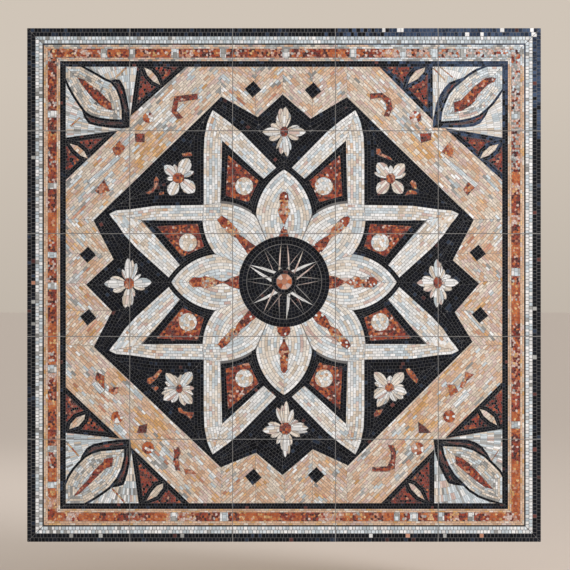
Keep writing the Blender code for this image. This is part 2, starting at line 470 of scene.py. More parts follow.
# How the stones of the areas are laid, in millimetres. Courses along an outline: their width, the length
# of a stone and how many courses. Straight rows: their width and the length of a stone. Crushed stone:
# how far apart the pieces are.
courseSizes = {
    "swoosh": (7.6, 13.0, 3),
    "swooshCore": (7.0, 11.0, 3),
    "leafEdge": (6.6, 14.0, 1),
    "leaf": (6.6, 14.0, 18),
    "triangle": (6.3, 10.5, 3),
    "blackLeaf": (6.0, 9.0, 6),
}
rowSizes = {
    "plug": (11.0, 13.0),
    "fieldBand": (7.2, 16.5),
    "fieldSide": (7.2, 16.5 * 0.85),
    "crossing": (8.07, 9.7),
    "sliver": (40.0, 36.0),
    "flowerPetal": (8.0, 26.0),
    "ray": (8.0, 16.0),
    "creamLeaf": (9.0, 20.0),
    "paleBar": (6.4, 26.0),
    "diamond": (10.2, 10.2),
}
chipSizes = {
    "crushedCourse": 6.6, "redKite": 6.6, "medallion": 8.6, "pendant": 6.2, "flowerHeart": 7.0,
    "groundLeaf": 6.0, "redLeaf": 6.4, "redTriangle": 6.8, "hook": 6.6, "square": 8.5, "pebble": 7.0,
    "fan": 7.2,
}

# The picture's areas, from the lowest to the topmost.
areas = []


def area(name, shape, lay, mix, streak=0.0, scale=unit, joint=None):
    # shape is in drawing steps unless scale says otherwise, lay is called with the area in millimetres,
    # and streak is how often a stone takes the kind of its row.
    shape = [(x * scale, y * scale) for x, y in shape]
    shape = anticlockwise([p for i, p in enumerate(shape) if math.dist(p, shape[i - 1]) > 1e-6])
    made = {"name": name, "shape": shape, "box": boxOf(shape), "lay": lay, "mix": mix}
    areas.append(made | {"streak": streak, "joint": joint or mix})


def edgesOf(shape):
    return [(shape[i - 1], shape[i]) for i in range(len(shape))]


def followOutline(a):
    return courses(edgesOf(a["shape"]), *courseSizes[a["name"]], a["box"])


def straight(degrees):
    return lambda a: rows(a["box"], degrees, *rowSizes[a["name"]])


def crushed(a):
    return chips(a["shape"], chipSizes[a["name"]])


def toMillimetres(points):
    return [(x * unit, y * unit) for x, y in points]


def fromStar(points, degrees=0.0):  # drawing steps round the star's middle
    cx, cy = panel["starCentre"][0] / unit, panel["starCentre"][1] / unit
    return turned(points, degrees, (cx, cy))


def starPlace(x, y):
    return x * unit + panel["starCentre"][0], y * unit + panel["starCentre"][1]


# Border courses, from the edge inwards, in millimetres.
border = [
    {"name": "outerBlack", "width": 24.5, "rows": 2, "stone": 10.8, "mix": "ground", "joint": "edge"},
    {"name": "white", "width": 21.0, "rows": 2, "stone": 10.2, "mix": "whiteCourse"},
    {"name": "thinBlack", "width": 3.5, "rows": 1, "stone": 18.0, "mix": "ground"},
    {"name": "outerPeach", "width": 11.5, "rows": 2, "stone": 13.0, "mix": "peachCourse"},
    {"name": "crushed", "width": 26.0},
    {"name": "innerPeach", "width": 10.0, "rows": 2, "stone": 13.0, "mix": "peachCourse"},
    {"name": "innerBlack", "width": 16.5, "rows": 2, "stone": 9.0, "mix": "ground"},
]


def layBorder():
    half = panel["side"] / 2
    edge = half + panel["joints"]["edge"] / 2  # past the panel's edge, so that no stone is cut there
    for course in border:
        inner = half - course["width"]
        if course["name"] == "crushed":
            for k in range(4):
                shape = turned([(-half, inner), (inner, inner), (inner, half), (-half, half)], 90 * k)
                area("crushedCourse", shape, crushed, "border", scale=1.0, joint="crushed")
        else:
            sizes = course["width"] / course["rows"], course["stone"], course["rows"]
            sources = edgesOf(square(half))
            lay = lambda a, s=sources, sizes=sizes: courses(s, *sizes)
            area(course["name"], square(edge), lay, course["mix"], scale=1.0, joint=course.get("joint"))
        half = edge = inner
    return half


innerHalf = layBorder() / unit
# The pale plugs set into the crushed course: their middles along each side, in drawing steps.
plugs = {
    "top": (-180, -152, -109, -61, 2, 69, 119, 150, 179),
    "left": (171, 99, 30, -1, -84, -164, -200),
    "right": (170, 13, -140),
    "bottom": (-110, -60, 113, 130, 157, 187),
}


def layPlugs():
    outer = panel["side"] / 2 - sum(course["width"] for course in border[:4])
    inner = outer - border[4]["width"]
    for side, places in plugs.items():
        for place in places:
            at, h = place * unit, rng.uniform(8.5, 12)
            (x0, y0), (x1, y1) = {
                "top": ((at - h, inner), (at + h, outer)),
                "bottom": ((at - h, -outer), (at + h, -inner)),
                "left": ((-outer, at - h), (-inner, at + h)),
                "right": ((inner, at - h), (outer, at + h)),
            }[side]
            area("plug", [(x0, y0), (x1, y0), (x1, y1), (x0, y1)], straight(90), "palePlug", scale=1.0)


# Peach field: rows slope with the dark ground's zigzag edge at the sides and run along the four bands.
zigzag = {
    "top": ((62.9, 185.0), (26.6, 163.5), (-1.5, 187.8), (-26.2, 165.0), (-62.6, 185.6)),
    "left": ((-190.4, 61.7), (-170.3, 22.9), (-198.0, -2.5), (-171.9, -29.0), (-190.1, -64.5)),
    "bottom": ((-63.3, -185.0), (-28.0, -170.5), (-1.5, -192.8), (28.8, -167.0), (64.1, -183.2)),
    "right": ((188.4, -59.5), (170.6, -30.0), (195.0, -1.5), (168.8, 22.0), (189.6, 62.3)),
}
# The field's parts at the top, turned for the other sides: where each starts and ends, and how its rows
# slope, in degrees.
fieldSides = ((-63.0, -28.5, -42), (-28.5, -1.0, 45), (-1.0, 28.5, -45), (28.5, 63.0, 42))
fieldSideFrom = 140  # from the panel's middle


def layField():
    n = innerHalf
    for sx in (1, -1):
        for sz in (1, -1):
            shape = [(0, 0), (sx * n, 0), (sx * n, sz * n), (0, sz * n)]
            area("fieldBand", shape, straight(-45 * sx * sz), "field", 0.42)
    for k in range(4):
        lift = panel["starCentre"][1] / unit if k % 2 else 0.0
        for x0, x1, degrees in fieldSides:
            shape = turned([(x0, fieldSideFrom), (x1, fieldSideFrom), (x1, n), (x0, n)], 90 * k)
            area("fieldSide", [(x, y + lift) for x, y in shape], straight(degrees + 90 * k), "field", 0.4)


# The eight-pointed star. Shapes are in drawing steps in a point's or petal's own frame: the first
# number runs outwards along its axis, the second to its side.
star = {
    "petalTip": 112.8,
    "petalArcAlong": 62.0,
    "petalArcAside": 31.05,
    "petalValley": 70.2,
    "diagonalHeight": 0.97,  # the diagonal petals are a little flatter
    "levelBand": (61.7, 77.6),  # how far its inside and outside are from the star's middle
    "uprightBand": (63.8, 80.3),
    "levelTip": {
        "straight": ((187.8, -3.7), (182.5, 2.2), (169.7, 8.7), (148.2, 21.4)),
        "slant": ((187.8, 3.7), (182.0, 7.4), (177.0, 9.8), (165.0, 17.8), (150.0, 24.8)),
        "slantEnd": ((107.7, 40.0), (101.3, 24.6)),
    },
    "uprightTip": {
        "straight": ((186.5, 0.0), (182.0, 5.0), (177.0, 9.8), (165.0, 17.8), (150.0, 24.8)),
        "slant": ((186.5, 0.0), (171.0, 9.6), (155.4, 17.9)),
        "slantEnd": ((108.8, 36.7), (103.4, 20.6)),
    },
    "tipsFrom": 138.0,  # past this the bands are of a browner stone
    "kiteApex": (154.5, 3.0),
    "redKite": ((139.0, 3.0), (103.4, -15.4), (87.6, 2.2), (102.2, 20.8)),
    "medallionAlong": 104.0,
    "medallionRadius": 9.0,
    "discRadius": 45.4,
    "groundStones": (9.6, 9.8, 14),  # width of a course, length of a stone, number of courses
    "bandStones": (8.07, 15.0, 8),
    "petalStones": (8.4, 17.0),  # depth of a row and length of a stone
    "petalDepth": 96.0,  # how far in the rows of half a petal reach, in millimetres
    "outline": (4.5, 6.6, 11.0),  # width in steps, depth of a row and length of a stone
}
petalRadius = math.hypot(star["petalArcAside"], star["petalTip"] - star["petalArcAlong"])


def petalSide(steps):  # (aside, along) from the tip down to the valley, on the right of an upright petal
    aside, along = star["petalArcAside"], star["petalArcAlong"]
    valley = (star["petalValley"] * math.sin(math.pi / 8), star["petalValley"] * math.cos(math.pi / 8))
    first = math.atan2(star["petalTip"] - along, aside)
    last = math.atan2(valley[1] - along, valley[0] + aside)
    side = [
        (petalRadius * math.cos(first + (last - first) * i / steps) - aside,
         petalRadius * math.sin(first + (last - first) * i / steps) + along)
        for i in range(steps + 1)
    ]
    side[-1] = valley
    return side


def flipped(points):
    return [(-x, y) for x, y in points]


def bandShapes(k):
    # The two arms of point k: one slants to the axis petal, one runs straight to the crossing.
    turn = 22.5 + 45 * k - 90
    flip = 1 if k % 2 else -1  # which side the straight arm is on
    isLevel = k % 4 in (0, 3)
    inner, outer = star["levelBand" if isLevel else "uprightBand"]
    crossing = star["uprightBand" if isLevel else "levelBand"][0]
    tip = star["levelTip" if isLevel else "uprightTip"]
    apex = (flip * star["kiteApex"][1], star["kiteApex"][0])
    far, near = turned([(outer, crossing), (inner, crossing)], 22.5)
    straightArm = [(flip * aside, along) for along, aside in tip["straight"]]
    straightArm += [(flip * far[0], far[1]), (flip * near[0], near[1]), apex]
    slantArm = [(-flip * aside, along) for along, aside in tip["slant"] + tip["slantEnd"]] + [apex]
    return turn, ((straightArm, len(tip["straight"])), (slantArm, len(tip["slant"])))


def lineSide(a, b, p):
    return (b[0] - a[0]) * (p[1] - a[1]) - (b[1] - a[1]) * (p[0] - a[0])


def layStar():
    # Everything the dark ground shows between: its rows follow all these edges.
    ground = [p for side in ("top", "left", "bottom", "right") for p in zigzag[side]]
    sources = edgesOf(anticlockwise(toMillimetres(fromStar(ground))))
    side = petalSide(9)
    rim = []
    for k in range(8):
        rim += turned(side[::-1][:-1] + flipped(side)[:-1], 45 * k)
    rim = anticlockwise(toMillimetres(fromStar(rim)))
    sources += [(b, a) for a, b in edgesOf(rim)]
    arms = []
    for k in range(8):
        turn, both = bandShapes(k)
        for arm, rowCount in both:
            arm = fromStar(arm, turn)
            shape = toMillimetres(arm)
            seam = {shape[0], shape[-1]}
            sources += [(b, a) for a, b in edgesOf(anticlockwise(shape)) if {a, b} != seam]
            middle = areaAndCentre(shape)[1]
            edges = zip(shape[:rowCount], shape[1:])
            arms.append((arm, [(a, b) if lineSide(a, b, middle) > 0 else (b, a) for a, b in edges]))
    area("ground", fromStar(ground), lambda a: courses(sources, *star["groundStones"], a["box"]), "ground")
    for arm, facing in arms:
        lay = lambda a, s=facing: courses(s, *star["bandStones"], a["box"])
        area("band", arm, lay, "star", 0.66)
    for k in range(8):
        turn = 22.5 + 45 * k - 90
        flip = 1 if k % 2 else -1
        kite = [(flip * aside, along) for along, aside in star["redKite"]]
        area("redKite", fromStar(kite, turn), crushed, "crushedRed", joint="crushed")
        ring = ringOf(star["medallionRadius"], 20, (0.0, star["medallionAlong"]))
        area("medallion", fromStar(ring, turn), crushed, "medallion", joint="crushed")


# Pendants of crushed red stone on each petal, from the top one anticlockwise: distance from the star's
# middle and half width at each step.
pendants = (
    (((90.6, 1.0), (88.0, 4.0), (83.0, 4.7), (78.2, 4.0), (75.5, 3.6), (71.5, 6.3), (67.3, 5.0),
      (62.4, 2.4), (58.0, 0.4)),
     ((55.4, 0.5), (51.5, 3.3), (49.0, 3.6), (44.0, 6.0))),
    (((91.4, 3.0), (85.0, 4.6), (77.0, 4.9), (70.0, 4.0), (64.5, 2.3), (59.0, 3.4), (53.0, 4.2),
      (44.0, 5.9)),),
    (((94.8, 1.4), (91.0, 5.0), (84.0, 4.6), (78.8, 6.1), (70.3, 4.2), (64.2, 1.4), (61.4, 0.6),
      (58.2, 1.6), (52.7, 4.6), (44.0, 7.2)),),
    (((91.0, 2.8), (85.0, 4.0), (78.0, 3.8), (70.8, 4.6), (64.0, 3.0), (59.0, 3.9), (51.0, 4.3),
      (44.0, 5.4)),),
    (((90.6, 0.8), (87.9, 3.1), (83.0, 3.5), (78.2, 4.1), (72.3, 4.1), (70.3, 5.7), (66.0, 4.6),
      (61.0, 1.9), (56.8, 0.5)),
     ((55.6, 0.8), (53.0, 3.9), (50.0, 6.2), (44.0, 7.0))),
    (((92.0, 2.6), (87.0, 4.2), (80.0, 3.6), (71.6, 4.8), (63.5, 2.0), (58.0, 4.2), (53.0, 5.6),
      (48.0, 5.0), (44.0, 4.4)),),
    (((93.4, 1.5), (89.7, 5.0), (84.8, 5.5), (77.6, 4.6), (70.3, 6.1), (65.0, 2.4), (61.8, 0.6),
      (56.4, 3.3), (51.0, 6.0), (44.0, 6.7)),),
    (((92.0, 1.4), (88.0, 4.0), (84.0, 4.6), (73.0, 4.4), (65.0, 1.7), (61.0, 2.8), (56.0, 4.3),
      (44.0, 5.8)),),
)


def onPetal(points, k):  # from an upright petal's frame to petal k
    height = star["diagonalHeight"] if k % 2 else 1.0
    return fromStar([(x, y * height) for x, y in turned(points, 45 * k)])


def spreadOf(k, hand):  # the directions that the rows of half a petal run through
    first = (-75 if hand > 0 else 105) + 45 * k
    return first, first + 150


def petalRows(k, hand):
    # Rows round the middle of the petal's outer arc, flattened with the petal.
    arcMiddle = turned([(-hand * star["petalArcAside"] * unit, star["petalArcAlong"] * unit)], 45 * k)[0]
    height = star["diagonalHeight"] if k % 2 else 1.0
    outer = petalRadius * unit
    inner = outer - star["petalDepth"]
    for shape, row in rings(arcMiddle, outer, inner, *star["petalStones"], *spreadOf(k, hand)):
        yield [(x + panel["starCentre"][0], y * height + panel["starCentre"][1]) for x, y in shape], row


def layPetals():
    side = petalSide(12)
    # The upright and level petals have a dark outline, and the diagonal petals lie over its ends.
    aside, along = star["petalArcAside"], star["petalArcAlong"]
    outlineWidth, depth, stone = star["outline"]
    wide = petalRadius + outlineWidth
    apex = math.acos(aside / wide)
    turns = [apex - (apex + 0.1) * i / 12 for i in range(13)]
    edge = [(wide * math.cos(t) - aside, wide * math.sin(t) + along) for t in turns]
    for k in (0, 2, 4, 6):
        for hand in (1, -1):
            half = [(hand * x, y) for x, y in edge] + [(0.0, 50.0)]
            around = starPlace(*turned([(-hand * aside, along)], 45 * k)[0]), wide * unit, petalRadius * unit
            lay = lambda a, around=around, spread=spreadOf(k, hand): rings(*around, depth, stone, *spread)
            area("petalOutline", fromStar(half, 45 * k), lay, "ground")
    for k in (1, 3, 5, 7, 0, 2, 4, 6):
        for hand in (1, -1):
            half = [(hand * x, y) for x, y in side] + [(0.0, 0.0)]
            area("petal", onPetal(half, k), lambda a, k=k, hand=hand: petalRows(k, hand), "petal", 0.68)
    (x0, x1), (y0, y1) = star["uprightBand"], star["levelBand"]
    for sx in (1, -1):
        for sy in (1, -1):
            shape = [(sx * x0, sy * y0), (sx * x1, sy * y0), (sx * x1, sy * y1), (sx * x0, sy * y1)]
            area("crossing", fromStar(shape), straight(0), "star", 0.3)
    for k, lines in enumerate(pendants):
        for line in lines:
            shape = [(t, s) for s, t in line] + [(-t, s) for s, t in reversed(line)]
            area("pendant", fromStar(shape, 45 * k), crushed, "pendant", joint="crushed")


# Compass in the middle. Each ray: its direction in degrees, how bright its two slivers are, 0 to 2, and how
# far their tips are from the ray's axis.
compass = {
    "middle": (0.2, 0.6),  # from the star's middle
    "reach": 39.5,
    "base": 13.0,
    "baseSpread": (19, 22),  # degrees from the ray's axis, for rays with close and with open tips
    "heart": 8.2,
    "heartStone": 9.5,  # radius of its middle stone, in millimetres
    "rim": (7.6, 11.1, 10.5),  # how deep the disc's outer ring is, the depth and length of its stones
    "inside": (8.1, 9.8, 11.5),  # how far in the other rings start, the depth and length of their stones

    "rays": (
        (90, 1, 1, 2.9), (121, 0, 0, 0.3), (155, 2, 2, 0.3), (178, 0, 0, 0.3), (214, 2, 0, 0.3),
        (238, 0, 1, 0.8), (268, 2, 0, 3.2), (302, 0, 0, 0.3), (322, 0, 2, 0.3), (3, 0, 0, 0.3),
        (31, 2, 1, 0.3), (60, 0, 1, 0.3),
    ),
    "sliverWidths": (0.9, 1.9, 3.3),
    "sliverKinds": ("dullSliver", "pinkSliver", "brightSliver"),
}


def onDisc(points, degrees=0.0):
    cx, cy = compass["middle"]
    return fromStar([(x + cx, y + cy) for x, y in turned(points, degrees)])


def layCompass():
    c = toMillimetres(onDisc([(0.0, 0.0)]))[0]
    r = star["discRadius"]

    def discRows(a):
        (deep, *rimStones), (start, *insideStones) = compass["rim"], compass["inside"]
        yield from rings(c, r * unit, (r - deep) * unit, *rimStones)
        yield from rings(c, (r - start) * unit, compass["heart"] * unit, *insideStones)

    area("disc", onDisc(ringOf(r, 72)), discRows, "ground")
    for degrees, left, right, tipAside in compass["rays"]:
        for hand, bright in ((1, left), (-1, right)):
            base = math.radians(hand * compass["baseSpread"][tipAside >= 2])
            foot = (compass["base"] * math.cos(base), compass["base"] * math.sin(base))
            w = compass["sliverWidths"][bright]
            tip = (compass["reach"], hand * tipAside)
            middle = ((tip[0] + foot[0]) / 2, (tip[1] + foot[1]) / 2 + hand * w * 0.55)
            near, far = (foot[0] + 0.4, foot[1] - hand * w * 0.5), (foot[0] - 1.0, foot[1] + hand * w * 0.5)
            shape = onDisc([tip, near, far, middle], degrees)
            area("sliver", shape, straight(degrees), compass["sliverKinds"][bright])
    radius = compass["heart"] * unit * 1.1
    lay = lambda a: wedges(c, radius, 8, compass["heartStone"], 0.5)
    area("heart", onDisc(ringOf(compass["heart"], 8, phase=0.5)), lay, "heart")


# Flowers on the dark ground, by the middle and half size of the heart, in drawing steps from the panel's
# middle. Each petal: its direction, its length and its half width.
petalOutline = ((0.14, 0.3), (0.4, 0.8), (0.62, 1.0), (0.8, 0.82), (0.93, 0.42), (1.0, 0.0))
flowers = (
    {"heart": (0.2, 153.4, 4.2, 5.4), "stones": "crushedRed", "petals": (
        (-28, 16.5, 3.6), (20, 16, 3), (-1, 21.7, 4.6), (151, 15.5, 3.6), (209, 17.3, 4), (181, 21.7, 4.5),
        (74, 19.5, 3), (111, 18.5, 3.4), (99, 24, 4), (87, 25, 4.2), (126, 14.2, 1.8), (66, 16.4, 1.1),
        (289, 19.8, 2.8), (262, 23, 3.6), (277, 25.7, 3.2), (246, 19.5, 1.3))},
    {"heart": (-155.1, 1.3, 5.4, 6.0), "stones": "crushedOrange", "petals": (
        (-19, 17, 3), (4, 22.8, 5), (163, 19.6, 4), (206, 17.9, 4), (180, 25, 4.6),
        (38, 15.4, 2), (115, 16, 2.4), (70, 22, 3.6), (82, 24.2, 3), (92, 25.7, 3.8),
        (294, 14, 2.4), (278, 21.9, 2.6), (271, 24, 2.4), (261, 24.5, 4.4))},
    {"heart": (153.7, 2.4, 4.5, 6.2), "stones": "crushedRed", "petals": (
        (27, 14.6, 4), (-26, 16, 4), (0, 21, 4.2), (162, 16.4, 3.6), (208, 16.2, 4.4), (181, 21, 4),
        (65, 14.8, 3.4), (81, 19.8, 2.8), (113, 18.4, 4), (92, 23.7, 3.6),
        (245, 17.2, 2.6), (296, 19, 2.8), (280, 23, 3.4), (268, 25, 3.6))},
    {"heart": (1.3, -143.6, 6.4, 6.4), "stones": "crushedRed", "petals": (
        (32, 15.2, 3.4), (14, 19.3, 3.4), (-28, 16.8, 3), (-8, 22.5, 2.8), (2, 23.2, 3.4), (163, 18.2, 3.4),
        (210, 17, 3.2), (185, 22.9, 4.4), (57, 15.4, 2.4), (68, 20.6, 3.2), (112, 22.9, 3.2),
        (98, 23.9, 2.8),
        (88, 27.7, 3.2), (241, 17.8, 2.6), (290, 18, 3), (262, 22, 3), (278, 26, 2.6), (270, 29, 2.8))},
    {"heart": (-105.7, 107.0, 6.2, 5.4), "stones": "crushedOrange", "petals": (
        (23, 16.8, 3), (107, 14.5, 2.6), (184, 12, 2.4), (138, 18.8, 5), (-41, 21.7, 7), (244, 19.3, 6.2),
        (62, 22.3, 6.8))},
    {"heart": (106.7, 106.5, 4.8, 5.4), "stones": "crushedOrange", "petals": (
        (161, 17.5, 2.4), (90, 13.4, 2.4), (19, 16, 3.2), (131, 20.6, 6.2), (47, 20, 5.6), (228, 20, 6.4),
        (-52, 19, 5.8))},
    {"heart": (-104.6, -103.8, 3.4, 4.4), "stones": "crushedRed", "petals": (
        (83, 14.8, 2.6), (113, 14.8, 2.8), (155, 16.1, 2.8), (180, 15.6, 2.6), (195, 18.9, 2.6),
        (3, 14.8, 2.8),
        (-23, 15, 3), (241, 15.8, 3.6), (215, 19.6, 4.4), (131, 20.8, 4.4), (-72, 17.8, 3.8),
        (-50, 19.7, 4.6), (54, 20.8, 5.6))},
    {"heart": (105.4, -102.5, 4.6, 4.6), "stones": "crushedOrange", "petals": (
        (86, 12, 3.2), (7, 14.4, 2.4), (163, 15.8, 3), (197, 16.4, 3), (251, 18, 3.6), (238, 23, 4.2),
        (214, 18.9, 4.4),
        (-64, 15.4, 4), (-39, 17.8, 4), (-18, 18.3, 4.6), (135, 21.5, 5), (46, 20.5, 5.4))},
)
# Small orange leaves in the dark ground beside the flowers.
groundLeaves = (
    ((-127.6, 109.2), (-125.2, 105.2), (-125.6, 100.7), (-127.8, 97.1), (-131, 92.7), (-135, 90.7),
     (-138.6, 92.2), (-132.3, 95.4), (-130.1, 98.9), (-130.1, 104.7)),
    ((-123.8, 93.8), (-120.2, 93.1), (-119.8, 90.4), (-125.2, 90.2)),
    ((-102.2, 131.3), (-97.5, 132.6), (-92.3, 132.6), (-91.9, 129.1), (-97.5, 128.6), (-101.1, 128.6)),
    ((92.4, 136.4), (96, 136.4), (98, 131.5), (102.2, 129.7), (106.7, 127.5), (108.5, 124.4),
     (102.2, 126.6), (96, 129.1), (92, 131.5)),
    ((128.1, 105.2), (132.4, 102.1), (132.8, 95.4), (128.6, 97.1), (126.1, 102.5)),
    ((120.6, 89.3), (123.7, 94.5), (128.1, 95.1), (133.3, 92.9), (132.8, 90.7), (125.5, 90.7)),
    ((-136.8, -93.6), (-131, -91.3), (-124.3, -84.2), (-121.6, -85.8), (-126.5, -92.7), (-133.6, -99.6),
     (-137, -97.6)),
    ((-132.3, -102.5), (-127.4, -100.7), (-125.4, -102.9), (-128.3, -106.5)),
    ((-106.2, -123), (-103.3, -122.6), (-100.6, -125.9), (-96.1, -127.1), (-90.3, -127.3), (-90.6, -131.1),
     (-93.7, -134), (-98.8, -129.7), (-105.3, -127.1)),
    ((121.7, -84.2), (125.2, -82.9), (130.4, -88.2), (134.2, -94.5), (132.6, -98.7), (127.2, -93.6),
     (123.7, -89.1)),
    ((92.2, -125.3), (99.3, -124.2), (96, -129.7), (90.6, -132.4), (90, -128.4)),
)


def layFlowers():
    for flower in flowers:
        x, y, wide, high = flower["heart"]
        for degrees, length, half in flower["petals"]:
            outline = [(along * length, aside * half) for along, aside in petalOutline]
            shape = outline + [(s, -t) for s, t in reversed(outline[:-1])]
            mix = "flowerWarm" if chance(0.3) else "flower"
            area("flowerPetal", turned(shape, degrees, (x, y)), straight(degrees), mix, 0.5)
        area("flowerHeart", ringOf(wide, 8, (x, y), 0.5, high), crushed, flower["stones"])
    for shape in groundLeaves:
        area("groundLeaf", shape, crushed, "crushedOrange")


